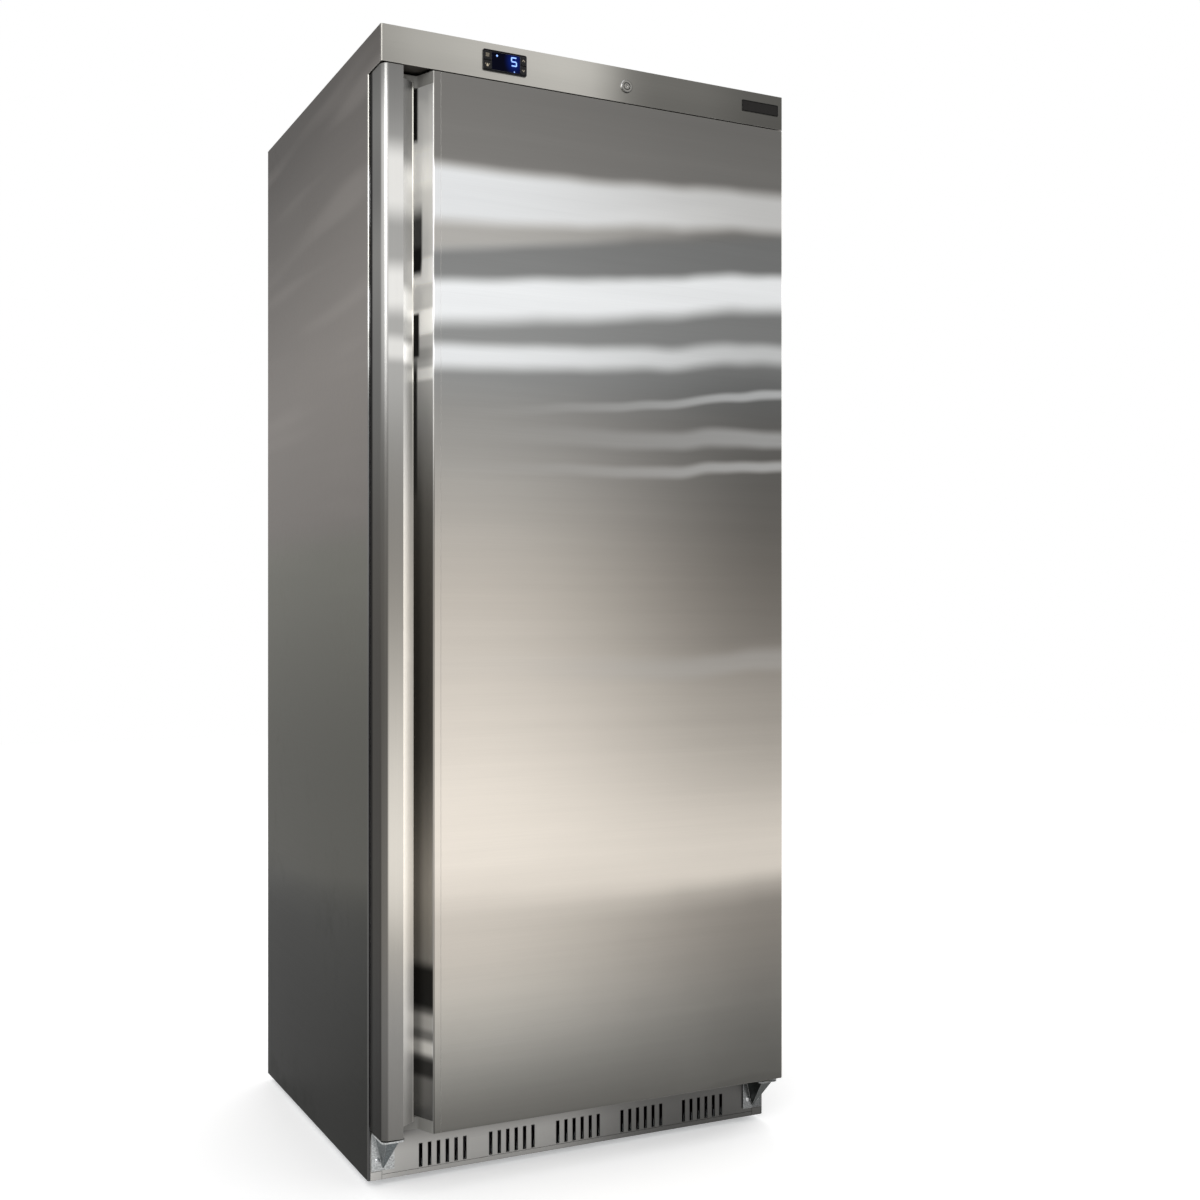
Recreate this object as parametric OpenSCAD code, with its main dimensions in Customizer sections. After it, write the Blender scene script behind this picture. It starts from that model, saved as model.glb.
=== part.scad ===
// Commercial upright refrigerator: one tall solid door, a bottom machine space
// with a slotted kick panel, and a control fascia across the top.
// Millimetres. Origin on the floor under the middle; the door faces -Y.

/* [Cabinet] */
// Overall width across the side panels
cabinet_w = 777; // [740:1:820]
// Overall depth from the door's face to the back
cabinet_d = 695; // [680:1:760]
// Overall height above the floor
cabinet_h = 1895; // [1800:1:2050]
// Height of the base above the floor with the feet screwed in
foot_gap = 12; // [11.5:0.5:16]
// Thickness of the outer sheet metal
sheet_t = 1; // [0.8:0.1:1.2]
// Thickness of a side or rear wall, outer sheet and liner included
wall_t = 58; // [54:1:60]
// Thickness of the roof
roof_t = 95; // [90:1:100]
// Thickness of the insulated floor and of the step over the machine space
floor_t = 45; // [42:1:50]
// Thickness of the moulded liners
liner_t = 1.5; // [1:0.1:2]
// Corner radius of the liner's cavity
liner_r = 15; // [8:1:25]
// Width of the folded front edges of the side panels
side_fold = 20; // [16:1:24]
// Outer radius of the bent sheet corners
bend_r = 2.5; // [1.6:0.1:4]

/* [Machine space] */
// Height of the air space under the insulated floor
base_h = 85; // [83:1:90]
// Depth of the compressor space at the rear
machine_d = 275; // [265:1:290]
// Height of the compressor space above the base
machine_h = 244; // [240:1:260]
// Thickness of the base tray
tray_t = 1.5; // [1.2:0.1:2]
// Height of the base tray's turned-up edges
tray_edge = 24; // [18:1:30]

/* [Fascia] */
// Height of the control fascia
fascia_h = 60; // [56:1:66]
// How far the fascia's face stands behind the door's face
fascia_setback = 2.5; // [2.5:0.1:4]
// Radius of the fascia's upright corners
fascia_r = 3; // [2:0.5:5]
// Distance of the controller's middle from the left side
controller_x = 217.9; // [150:0.1:280]
// Width of the controller's bezel
bezel_w = 79.8; // [78:0.2:84]
// Height of the controller's bezel
bezel_h = 35.5; // [34:0.5:38]
// Thickness of the bezel in front of the fascia
bezel_t = 2; // [1.6:0.1:2]
// How far the bezel reaches past the controller's body
bezel_lip = 3.2; // [2.5:0.1:4]
// Depth of the controller's body behind the fascia
controller_d = 46; // [40:1:50]
// Width of the strip of keys left of the display window
left_strip = 15.6; // [13:0.1:17]
// Width of the display window
window_w = 52; // [48:0.5:53]
// Margin beside a key in its strip
key_margin = 1.5; // [1.2:0.1:2]
// Height of a key
key_h = 12.5; // [10:0.1:13]
// Travel of a key
key_travel = 0.5; // [0.3:0.05:0.8]
// Distance of the lock's axis from the left side
lock_x = 450; // [380:1:520]
// Diameter of the lock's rosette
lock_d = 22; // [21:0.5:26]
// Length of the lock's barrel behind the fascia
barrel_l = 24; // [20:0.5:28]
// Reach of the lock's cam from its axis
cam_reach = 42; // [41:0.5:44]
// Width of the bare plate at the fascia's right end
plate_w = 78; // [60:1:90]
// Height of the bare plate
plate_h = 20.5; // [16:0.5:26]

/* [Kick panel] */
// Groups of air slots
kick_groups = 5; // [3:1:5]
// Slots in a group
kick_per_group = 6; // [4:1:7]
// Distance between the slots of a group
kick_pitch = 16; // [12:0.5:17]
// Distance between the groups
kick_group_pitch = 128; // [122:1:132]
// Width of an air slot
kick_slot_w = 4.2; // [3:0.1:5]
// Length of an air slot
kick_slot_l = 38.5; // [30:0.5:42]
// Height of the slots above the base
kick_slot_up = 10.5; // [9:0.5:14]
// Height of the rail under the kick panel
rail_h = 8; // [6:0.5:9]
// Width of the corner blocks of the base
corner_w = 20; // [16:0.5:22]
// Height of the corner blocks of the base
corner_h = 14; // [12:0.5:15]

/* [Door] */
// Thickness of the door without its gasket
door_t = 58; // [56:0.5:60]
// Space between the door and the cabinet, filled by the gasket
gasket_gap = 9; // [8:0.5:11]
// Gap beside the door at each side
door_side_gap = 1.5; // [1:0.1:3]
// Gap between the door and the fascia
door_top_gap = 3; // [2:0.1:5]
// Height of the door's lower edge above the base
kick_h = 86.5; // [85.5:0.5:90]
// Radius of the handle bar's outer corner
bar_r = 12; // [8:0.5:14]
// Flat width of the handle bar
bar_w = 36; // [32:0.5:38]
// Distance of the handle's lip from the door's left edge
lip_x = 59; // [56:0.5:62]
// How far the lip slopes back from the door's face
lip_drop = 15; // [12:0.5:17]
// Thickness of the hemmed lip
lip_t = 3; // [2.4:0.1:4]
// Left wall of the finger channel behind the bar
channel_x = 28; // [26:0.5:30]
// Right edge of the channel's mouth
mouth_x = 88; // [84:0.5:92]
// Right end of the channel's floor
well_x = 68; // [66:0.5:72]
// Depth of the finger channel
channel_depth = 46; // [42:0.5:47]
// Corner radius of the channel's floor
well_r = 8; // [5:0.5:10]
// Width of the handle profile, up to its seam in the door's face
handle_w = 101; // [98:0.5:110]
// Height of the door's end caps
cap_h = 20; // [20:0.5:26]
// Depth of the scooped groove in the end caps
groove_depth = 35; // [30:0.5:38]
// Depth of the door liner's raised frame
dike_d = 18; // [12:0.5:22]
// Width of the raised frame
dike_w = 30; // [22:0.5:40]
// Clear gap between the raised frame and the cabinet's liner
dike_gap = 14; // [10:0.5:20]
// Width of the gasket
gasket_w = 22; // [20:0.5:24]
// Inset of the gasket from the door's side edges
gasket_in = 24; // [23.5:0.5:28]

/* [Hinges] */
// Distance of the hinge axis from the cabinet's right side
hinge_in = 25; // [24:0.5:27]
// Distance of the hinge axis behind the door's face
hinge_back = 25; // [24:0.5:27]
// Radius of the hinge pins
hinge_pin_r = 5; // [4:0.1:6]
// Width of a bottom bracket
bracket_w = 40; // [38:0.5:42]
// Sheet thickness of a bottom bracket
bracket_t = 3; // [2.5:0.1:3.2]
// Thickness of the lower bush's flange, which carries the door
bush_flange_t = 5.2; // [4.5:0.1:6]
// Reach of the hinge pins into the door
pin_reach = 18; // [15:0.5:19]
// Distance of the bracket's screws from its middle
bracket_screw_x = 10; // [8:0.5:12]
// Height of the bracket's screws above the base
bracket_screw_up = 33; // [30:1:40]

/* [Inside] */
// Clear gap between a wire shelf and the uprights beside it
shelf_side_gap = 4.5; // [3:0.5:6]
// Clear gap between a wire shelf and the door's raised frame
shelf_front_gap = 5; // [4:0.5:15]
// Clear gap between a wire shelf and the rear wall
shelf_back_gap = 41; // [30:1:70]
// Number of shelves
shelf_count = 4; // [3:1:4]
// Height of the lowest shelf above the insulated floor
shelf_first = 250; // [230:1:280]
// Distance between shelves
shelf_step = 315; // [280:1:330]
// Radius of a shelf's frame rod
rod_r = 3; // [2.5:0.1:3.5]
// Radius of a shelf's thin wires
wire_r = 1.5; // [1.2:0.1:2]
// Number of thin wires in a shelf
wire_count = 23; // [15:2:25]
// Depth of a shelf upright from the liner
upright_d = 6; // [5:0.5:7]
// Width of a shelf upright
upright_w = 20; // [18:0.5:24]
// Width of the evaporator's housing
evap_w = 520; // [480:1:560]
// Height of the evaporator's housing
evap_h = 150; // [146:1:156]
// Depth of the evaporator's housing
evap_d = 225; // [215:1:235]

/* [Feet] */
// Radius of a levelling foot's pad
foot_r = 19; // [16:0.5:22]
// Radius of a levelling foot's stem
stem_r = 5; // [4:0.1:6]
// Inset of the feet from the cabinet's sides
foot_in = 75; // [65:1:90]
// Radius of a rear roller
roller_r = 20; // [17:0.5:22]
// Width of a rear roller
roller_w = 22; // [18:0.5:24]

/* [Hidden] */
$fn = 48;

// Clearance between pieces that move past each other
gap = 0.3;
// Radial running clearance of a pin or shaft in its bore
run = 0.05;
// Clearance round a fixed piece in its cut-out
fit_gap = 0.1;
// A cut reaches this far past the face it goes through
past = 1;
// Arcs run this far past the lines they touch
nick = 0.01;

half_w = cabinet_w / 2;
front = -cabinet_d / 2;
back = cabinet_d / 2;
top = cabinet_h;
base_z = foot_gap;

// Front plane of the insulated case, behind the door and its gasket
case_y = front + door_t + gasket_gap;
fascia_y = front + fascia_setback;
fascia_z = top - fascia_h;
fascia_mid = top - fascia_h / 2;

// Cavity limits
in_x = half_w - wall_t;
in_back = back - wall_t;
in_top = top - roof_t;
under_z = base_z + base_h;
floor_z = under_z + floor_t;
rear_face = back - 2 * sheet_t;
mach_y = rear_face - machine_d;
mach_z = base_z + machine_h;
step_y = mach_y - floor_t;
step_z = mach_z + floor_t;
skin_x = half_w - sheet_t;

// Door limits
door_w = cabinet_w - 2 * door_side_gap;
door_x = -door_w / 2;
door_bottom = base_z + kick_h;
door_top = fascia_z - door_top_gap;
door_h = door_top - door_bottom;
cap_low = door_bottom + cap_h;
cap_high = door_top - cap_h;
door_back = front + door_t;
door_corner_r = 4;
door_edge_r = 3;
skin_return = 15;
liner_y = door_t - sheet_t - liner_t;
liner_edge = 2;
dike_r = 14;
dike_inner_r = 10;
gasket_end = 6;
gasket_foot = 0.3;
gasket_neck = 0.2;

// Finger channel: lean of its sloping wall, and the bend at its mouth
slope = atan((mouth_x - well_x) / channel_depth);
mouth_edge = 4;

// Hinge axis
hinge_x = half_w - hinge_in;
hinge_y = front + hinge_back;
bush_r = 9;
bush_l = 20;
bush_flange_r = 11;
bracket_z = door_bottom - bush_flange_t - gap;
flange_up = 16;
plate_front = front + 9;
nose_r = 8;
gusset_w = 30;
gusset_t = 2;
gusset_apex = base_z + 20;
top_plate_half = 18;
top_plate_front = 12;
top_plate_h = 40;
rivet_up = 26;

// Fascia details
fascia_return = fascia_r + 0.5;
ear_lap = 2;
top_return = 16;
top_seam = 0.5;
controller_mid = controller_x - half_w;
controller_up = 0.9;
controller_z = fascia_mid + controller_up;
controller_w = bezel_w - 2 * bezel_lip;
controller_h = bezel_h - 2 * bezel_lip;
bezel_front = fascia_y - bezel_t;
bezel_r = 3;
window_mid = controller_mid - bezel_w / 2 + left_strip + window_w / 2;
window_margin = 3;
window_h = bezel_h - 2 * window_margin;
window_r = 1;
window_back = bezel_front + 1.2;
digit_front = bezel_front + 0.3;
window_front = bezel_front + 0.5;
digit_w = 11;
digit_h = 15.5;
digit_t = 2;
digit_gap = 0.4;
digit_x = 16.5;
digit_z = 4;
lamp_x = -14.5;
lamp_z = 9.5;
lamp_r = 1.6;
point_x = 17.2;
point_z = -12.8;
point_r = 0.9;
right_strip = bezel_w - left_strip - window_w;
key_z = bezel_h / 4 - 0.6;
key_r = 1.2;
key_wall = 0.2;
key_d = bezel_t - key_travel - gap - key_wall;
key_proud = 0.4;
lock_mid = lock_x - half_w;
lock_drop = 1.3;
lock_z = fascia_mid - lock_drop;
rosette_edge = 0.8;
barrel_r = 9.4;
nut_wall = 4;
nut_t = 4;
plug_r = 6;
plug_sunk = 0.4;
key_slot_w = 1.4;
key_slot_h = 7.2;
key_slot_d = 4;
cam_w = 14;
cam_t = 2.5;
cam_y = fascia_y + barrel_l + gap;
cam_room = 1.5;
cam_side = 2;
cam_boss = 1;
pocket_z = lock_z - cam_reach - 3;
plate_in = 49.1;
plate_x = half_w - plate_in;
plate_up = 3.4;
plate_z = fascia_mid + plate_up;
plate_t = 0.8;
plate_r = 2;

// Kick panel
kick_side_gap = 4;
kick_edge = half_w - kick_side_gap;
kick_face = case_y - sheet_t;
bracket_screw_z = base_z + bracket_screw_up;
screw_hole_r = 2.2;
screw_head_r = 4.5;
screw_head_h = 2.4;
screw_dome_r = 6.2;
cross_l = 4.6;
cross_w = 0.9;
cross_d = 1.1;

// Shelf rows
upright_face = in_x - upright_d;
shelf_w = 2 * (upright_face - shelf_side_gap);
shelf_front_y = door_back + dike_d + shelf_front_gap;
shelf_d = in_back - shelf_back_gap - shelf_front_y;
shelf_mid_y = shelf_front_y + shelf_d / 2;
weld = 0.4;
wire_over = 1;
upright_t = 1.2;
upright_pitch = 50;
hook_w = 4;
hook_h = 14;
hook_up = 20;
clip_t = 2;
clip_w = 12;
clip_tab = 6;
clip_ledge = 3;
shelf_zs = [for (i = [0 : shelf_count - 1]) floor_z + shelf_first + i * shelf_step];
upright_ys = [shelf_mid_y - shelf_d * 0.36, shelf_mid_y + shelf_d * 0.36];
upright_end = 20;
upright_z0 = step_z + upright_end;
upright_z1 = in_top - evap_h - 1.5 * upright_end;

// Evaporator
evap_y0 = in_back - evap_d;
evap_z0 = in_top - evap_h;
fan_r = 60;
fan_z = in_top - evap_h / 2;
fan_hole_r = fan_r + 4;
efan_depth = 22;
efan_y = evap_y0 + 8;
efan_hub_r = 18;
cover_slant = 8;
blade_t = 1.6;
blade_tilt = 26;
blade_end = 0.3;
blade_root = 0.36;
blade_camber = 0.8;
blade_lift = 0.06;
blade_in = 0.6;
blades = 5;
bore_start = 6;
motor_gap = 2;
shaft_reach = 12;
motor_cap = 4;
stand_w = 24;
stand_d = 16;
emotor_r = 26;
emotor_l = 48;
guard_r = 1;
guard_pitch = 12;
louvre_margin = 38;
louvre_up = 30;
louvre_pitch = 12;
louvre_gap = 5;
louvre_count = 8;
evap_coil_front = 100;
evap_coil_side = 30;
evap_coil_up = 20;
evap_fins = 24;
evap_rows = 4;
probe_r = 3;
probe_drop = 26;
probe_side = 30;
probe_l = 30;

// Machine space places
comp_in = 223.5;
comp_x = half_w - comp_in;
comp_y = (mach_y + rear_face) / 2 + 10;
comp_r = 80;
tray_top = base_z + tray_t;
comp_z = tray_top + 14;
comp_h = 190;
comp_dome = 23;
comp_split = 0.52;
comp_seam = 4;
comp_seam_h = 6;
comp_plate = 4;
comp_foot_in = 6;
grommet_r = 10;
grommet_head_r = 14;
terminal_w = 64;
terminal_d = 34;
terminal_up = 30;
cond_in = 180.5;
cond_x = cond_in - half_w;
cond_w = 250;
cond_h = 200;
cond_d = 44;
cond_y = mach_y + 28;
cond_z = tray_top;
cond_foot = 4;
cond_rows = 6;
cond_fins = 30;
cond_fin_in = 6;
cond_plate_in = 4;
cond_plate_t = 2;
shroud_in = 3;
shroud_t = 2;
cfan_r = 84;
cfan_z = cond_z + cond_h / 2;
cfan_depth = 28;
cfan_y = cond_y + cond_d + 8;
cfan_hub_r = 20;
cmotor_r = 30;
cmotor_l = 52;
coil_tube_r = 4.8;
tube_over = 2;
fin_t = 0.8;
shaft_r = 3;
pipe_r = 3;
drier_r = 10;
drier_l = 70;
pipe_drop = 40;
pan_h = 36;
pan_t = 2;
pan_left = 16;
pan_right = 12;
pan_front = 20;
pan_back = 30;
grille_rows = 9;
grille_columns = 12;
grille_slot = 5;
grille_margin = 20;
grille_fill = 0.72;
power_in = 98.5;
power_x = half_w - power_in;
power_z = base_z + 60;
power_r = 8;
axle_r = 4;
roller_in = 62;
roller_x = half_w - roller_in;
roller_back = 58;
roller_y = back - roller_back;
roller_edge = 2;
roller_tread = 5;
roller_web = 8;
roller_hub_r = 8;
fork_half = 14;
fork_t = 2.5;
fork_up = 9;
fork_down = 2;
fork_foot = 16;
axle_end = 4;
vent_count = 6;
vent_pitch = 60;
vent_w = 20;
vent_l = 80;
foot_x = half_w - foot_in;
foot_back = 60;
foot_y = case_y + foot_back;
foot_rim = 2;
foot_cone = 5;
foot_cone_h = 5;
foot_hex = 3.5;
boss_wall = 6;
boss_h = 14;
stem_up = 44;
stem_chamfer = 1;

// A block from its lowest corner to its highest
module block(a, b) {
    translate(a) cube([b[0] - a[0], b[1] - a[1], b[2] - a[2]]);
}

// A rectangle with round corners, centred
module round_rect(w, h, r) {
    square([w - 2 * r, h], center = true);
    square([w, h - 2 * r], center = true);
    for (x = [-1, 1], z = [-1, 1]) {
        translate([x * (w / 2 - r), z * (h / 2 - r)]) circle(r);
    }
}

// An upright slot with round ends, its lower end at the origin
module slot_2d(w, l) {
    translate([-w / 2, w / 2]) square([w, l - w]);
    translate([0, w / 2]) circle(d = w, $fn = 24);
    translate([0, l - w / 2]) circle(d = w, $fn = 24);
}

// Carries a shape drawn in X and Z along Y, from y0 to y1
module along_y(y0, y1) {
    translate([0, y1, 0]) rotate([90, 0, 0]) linear_extrude(y1 - y0) children();
}

// Carries a shape drawn in Y and Z along X, from x0 to x1
module along_x(x0, x1) {
    translate([x0, 0, 0]) rotate([90, 0, 90]) linear_extrude(x1 - x0) children();
}

// A cylinder along Y between two planes
module rod_y(x, z, r, y0, y1) {
    translate([x, y1, z]) rotate([90, 0, 0]) cylinder(r = r, h = y1 - y0);
}

// A cylinder along X between two planes
module rod_x(y, z, r, x0, x1) {
    translate([x0, y, z]) rotate([0, 90, 0]) cylinder(r = r, h = x1 - x0);
}

module mirror_x(on) {
    mirror([on ? 1 : 0, 0, 0]) children();
}

// Left side panel: wall, folded front and rear edges, and the ear beside the fascia
module side_panel() {
    difference() {
        translate([0, 0, base_z]) linear_extrude(top - base_z) {
            translate([-half_w, case_y + bend_r]) square([sheet_t, back - case_y - bend_r]);
            translate([-half_w + bend_r, case_y]) square([side_fold - bend_r, sheet_t]);
            translate([-half_w, back - sheet_t]) square([skin_return, sheet_t]);
            translate([-half_w + bend_r, case_y + bend_r]) intersection() {
                difference() {
                    circle(bend_r);
                    circle(bend_r - sheet_t);
                }
                translate([-bend_r, -bend_r]) square(bend_r);
            }
        }
        block([-skin_x, case_y - past, top - sheet_t],
            [-half_w + side_fold + past, case_y + bend_r + past, top + past]);
    }
    block([-half_w, fascia_y + fascia_return, fascia_z],
        [-half_w + sheet_t, case_y + bend_r + ear_lap, top]);
}

module side_panel_left() {
    color("silver") side_panel();
}

module side_panel_right() {
    color("silver") mirror_x(true) side_panel();
}

module top_panel() {
    color("silver") block([-skin_x, fascia_y + top_return + top_seam, top - sheet_t],
        [skin_x, rear_face, top]);
}

module rear_panel() {
    color("lightgrey") block([-skin_x, rear_face, mach_z], [skin_x, back - sheet_t, top]);
}

// Corner that is cut off so that a piece clears the inside of the side panel's bend
module bend_relief() {
    c = bend_r - sheet_t;
    translate([-skin_x, case_y + sheet_t, base_z - past]) linear_extrude(top - base_z + 2 * past)
        polygon([[-past, -past], [c + past, -past], [-past, c + past]]);
}

// The stepped outline under the insulated floor, from front to back
function under_line(drop) = [
    [case_y + sheet_t, under_z - drop], [mach_y + drop, under_z - drop],
    [mach_y + drop, mach_z - drop], [rear_face, mach_z - drop]];

module underfloor_sheet() {
    upper = under_line(0);
    lower = under_line(sheet_t);
    color("lightgrey") difference() {
        along_x(-skin_x, skin_x)
            polygon(concat(upper, [for (i = [len(lower) - 1 : -1 : 0]) lower[i]]));
        bend_relief();
        mirror_x(true) bend_relief();
    }
}

module base_tray() {
    tray_y = case_y + sheet_t;
    cut_w = roller_w + 12;
    cut_d = 2 * roller_r + 8;
    color("lightgrey") difference() {
        union() {
            difference() {
                block([-skin_x, tray_y, base_z], [skin_x, rear_face, base_z + tray_edge]);
                block([-skin_x + tray_t, tray_y + tray_t, base_z + tray_t],
                    [skin_x - tray_t, rear_face - tray_t, base_z + tray_edge + past]);
            }
            for (s = [-1, 1]) {
                translate([s * foot_x, foot_y, base_z]) cylinder(r = stem_r + boss_wall, h = boss_h);
            }
        }
        for (s = [-1, 1]) {
            translate([s * foot_x, foot_y, base_z - past])
                cylinder(r = stem_r + run, h = boss_h + 2 * past);
            block([s * roller_x - cut_w / 2, roller_y - cut_d / 2, base_z - past],
                [s * roller_x + cut_w / 2, roller_y + cut_d / 2, base_z + tray_t + past]);
        }
        for (i = [0 : vent_count - 1]) {
            vent_x = (i - (vent_count - 1) / 2) * vent_pitch;
            translate([vent_x, (case_y + mach_y - vent_l) / 2, base_z - past])
                linear_extrude(tray_t + 2 * past) slot_2d(vent_w, vent_l);
        }
        along_y(tray_y - past, tray_y + tray_t + past) kick_slots_2d();
        bend_relief();
        mirror_x(true) bend_relief();
    }
}

module front_frame() {
    x = half_w - side_fold;
    mid = (in_top + floor_z) / 2;
    color("silver") along_y(case_y, case_y + sheet_t) difference() {
        translate([-x, under_z - sheet_t]) square([2 * x, top - under_z]);
        translate([0, mid]) round_rect(2 * in_x, in_top - floor_z, liner_r);
    }
}

// Side insulation: follows the step over the machine space
module foam_side() {
    difference() {
        along_x(-skin_x, -in_x - liner_t) polygon([
            [case_y + sheet_t, under_z], [mach_y, under_z], [mach_y, mach_z],
            [rear_face, mach_z], [rear_face, top - sheet_t], [case_y + sheet_t, top - sheet_t]]);
        bend_relief();
    }
}

module foam_left() {
    color("khaki") foam_side();
}

module foam_right() {
    color("khaki") mirror_x(true) foam_side();
}

module foam_top() {
    x = in_x + liner_t;
    color("khaki") block([-x, case_y + sheet_t, in_top + liner_t], [x, rear_face, top - sheet_t]);
}

module foam_back() {
    x = in_x + liner_t;
    color("khaki") block([-x, in_back + liner_t, step_z - liner_t],
        [x, rear_face, in_top + liner_t]);
}

module foam_floor() {
    x = in_x + liner_t;
    color("khaki") along_x(-x, x) polygon([
        [case_y + sheet_t, under_z], [mach_y, under_z], [mach_y, mach_z], [rear_face, mach_z],
        [rear_face, step_z - liner_t], [step_y + liner_t, step_z - liner_t],
        [step_y + liner_t, floor_z - liner_t], [case_y + sheet_t, floor_z - liner_t]]);
}

// White moulded liner with the step over the machine space
module inner_liner() {
    x = in_x + liner_t;
    y0 = case_y + sheet_t;
    mid = (in_top + floor_z) / 2;
    color("white") difference() {
        block([-x, y0, floor_z - liner_t], [x, in_back + liner_t, in_top + liner_t]);
        difference() {
            along_y(y0 - past, in_back) translate([0, mid])
                round_rect(2 * in_x, in_top - floor_z, liner_r);
            block([-x, step_y, floor_z - 2 * liner_t], [x, in_back + past, step_z]);
        }
        block([-x - past, step_y + liner_t, floor_z - 2 * liner_t],
            [x + past, in_back + 2 * liner_t, step_z - liner_t]);
    }
}

module kick_slots_2d() {
    for (g = [0 : kick_groups - 1], k = [0 : kick_per_group - 1]) {
        group_x = (g - (kick_groups - 1) / 2) * kick_group_pitch;
        translate([group_x + (k - (kick_per_group - 1) / 2) * kick_pitch, base_z + kick_slot_up])
            slot_2d(kick_slot_w, kick_slot_l);
    }
}

module bracket_holes_2d() {
    for (s = [-1, 1], k = [-1, 1]) {
        translate([s * hinge_x + k * bracket_screw_x, bracket_screw_z]) circle(screw_hole_r, $fn = 24);
    }
}

module kick_panel() {
    color("silver") along_y(case_y - sheet_t, case_y) difference() {
        translate([-kick_edge, base_z + rail_h + gap])
            square([2 * kick_edge, under_z - base_z - rail_h - gap]);
        for (s = [-1, 1]) {
            translate([s * (kick_edge - corner_w / 2), base_z + corner_h / 2])
                square([corner_w + 2 * gap, corner_h + 2 * gap], center = true);
        }
        kick_slots_2d();
        bracket_holes_2d();
    }
}

// Bottom rail under the kick panel, with the corner blocks of the base at its ends
module kick_rail() {
    inner = kick_edge - corner_w - gap;
    color("silver") {
        block([-inner, case_y - sheet_t, base_z], [inner, case_y + sheet_t, base_z + rail_h]);
        for (s = [-1, 1]) {
            translate([s * (kick_edge - corner_w / 2), case_y - sheet_t / 2, base_z + corner_h / 2])
                cube([corner_w, sheet_t, corner_h], center = true);
        }
    }
}

// Folded fascia: face, short side returns, top and bottom returns
module fascia_panel() {
    lip = fascia_return;
    color("silver") difference() {
        union() {
            translate([0, 0, fascia_z]) linear_extrude(fascia_h) difference() {
                intersection() {
                    union() {
                        translate([-half_w, fascia_y + fascia_r]) square([cabinet_w, lip - fascia_r]);
                        translate([-half_w + fascia_r, fascia_y])
                            square([cabinet_w - 2 * fascia_r, fascia_r]);
                        for (s = [-1, 1]) {
                            translate([s * (half_w - fascia_r), fascia_y + fascia_r]) circle(fascia_r);
                        }
                    }
                    translate([-half_w, fascia_y]) square([cabinet_w, lip]);
                }
                translate([-half_w + sheet_t, fascia_y + fascia_r]) square([cabinet_w - 2 * sheet_t, lip]);
                translate([-half_w + fascia_r, fascia_y + sheet_t])
                    square([cabinet_w - 2 * fascia_r, lip]);
                for (s = [-1, 1]) {
                    translate([s * (half_w - fascia_r), fascia_y + fascia_r])
                        circle(fascia_r - sheet_t);
                }
            }
            block([-skin_x, fascia_y + sheet_t / 2, top - sheet_t], [skin_x, fascia_y + top_return, top]);
            block([-skin_x, fascia_y + sheet_t / 2, fascia_z], [skin_x, case_y, fascia_z + sheet_t]);
        }
        rod_y(lock_mid, lock_z, barrel_r + fit_gap, fascia_y - past, fascia_y + sheet_t + past);
        translate([controller_mid, fascia_y, controller_z])
            cube([controller_w + 2 * fit_gap, 4 * sheet_t, controller_h + 2 * fit_gap], center = true);
        block([lock_mid - cam_w / 2 - cam_side, cam_y - cam_room, fascia_z - past],
            [lock_mid + cam_reach + cam_side, cam_y + cam_t + cam_room, fascia_z + sheet_t + past]);
        translate([hinge_x, hinge_y, fascia_z - past])
            cylinder(r = hinge_pin_r + 1, h = sheet_t + 2 * past);
    }
}

// Bare plate where a name plate would be
module bare_plate() {
    color("dimgray") along_y(fascia_y - plate_t, fascia_y)
        translate([plate_x, plate_z]) round_rect(plate_w, plate_h, plate_r);
}

// Controller: bezel in front of the fascia and its body behind
module controller_housing() {
    color("black") difference() {
        union() {
            along_y(bezel_front, fascia_y) translate([controller_mid, controller_z])
                round_rect(bezel_w, bezel_h, bezel_r);
            block([controller_mid - controller_w / 2, fascia_y, controller_z - controller_h / 2],
                [controller_mid + controller_w / 2, fascia_y + controller_d,
                    controller_z + controller_h / 2]);
        }
        along_y(bezel_front - past, window_back) translate([window_mid, controller_z])
            round_rect(window_w, window_h, window_r);
        along_y(bezel_front - past, bezel_front + key_d + key_travel + gap)
            for (side = [-1, 1], row = [-1, 1]) {
                translate([key_mid(side), controller_z + row * key_z])
                    square([key_width(side) + 2 * gap, key_h + 2 * gap], center = true);
            }
    }
}

module display_window() {
    color("midnightblue") along_y(window_front, window_back)
        translate([window_mid, controller_z]) round_rect(window_w, window_h, window_r);
}

// One digit of seven bars, drawn about its middle; bars 0 top, 1 top right, 2 bottom right,
// 3 bottom, 4 bottom left, 5 top left, 6 middle
module digit_2d(bars) {
    flat = digit_w - digit_t - digit_gap;
    tall = digit_h / 2 - digit_t / 2 - 2 * digit_gap;
    for (b = bars) {
        if (b == 0 || b == 3 || b == 6) {
            z = b == 0 ? digit_h / 2 - digit_t / 2 : b == 3 ? -digit_h / 2 + digit_t / 2 : 0;
            translate([0, z]) square([flat, digit_t], center = true);
        } else {
            x = (b == 1 || b == 2 ? 1 : -1) * (digit_w - digit_t) / 2;
            z = (b == 1 || b == 5 ? 1 : -1) * digit_h / 4;
            translate([x, z]) square([digit_t, tall], center = true);
        }
    }
}

module display_digits() {
    color("deepskyblue") along_y(digit_front, window_front)
        translate([controller_mid, controller_z]) {
            translate([digit_x, digit_z]) digit_2d([0, 5, 6, 2, 3]);
            translate([lamp_x, lamp_z]) circle(lamp_r, $fn = 24);
            translate([point_x, point_z]) circle(point_r, $fn = 24);
        }
}

// Width and middle of a key; side -1 is the strip left of the window, 1 the right one
function key_width(side) = (side < 0 ? left_strip : right_strip) - 2 * key_margin;
function key_mid(side) =
    controller_mid + side * (bezel_w / 2 - key_margin - key_width(side) / 2);

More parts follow.
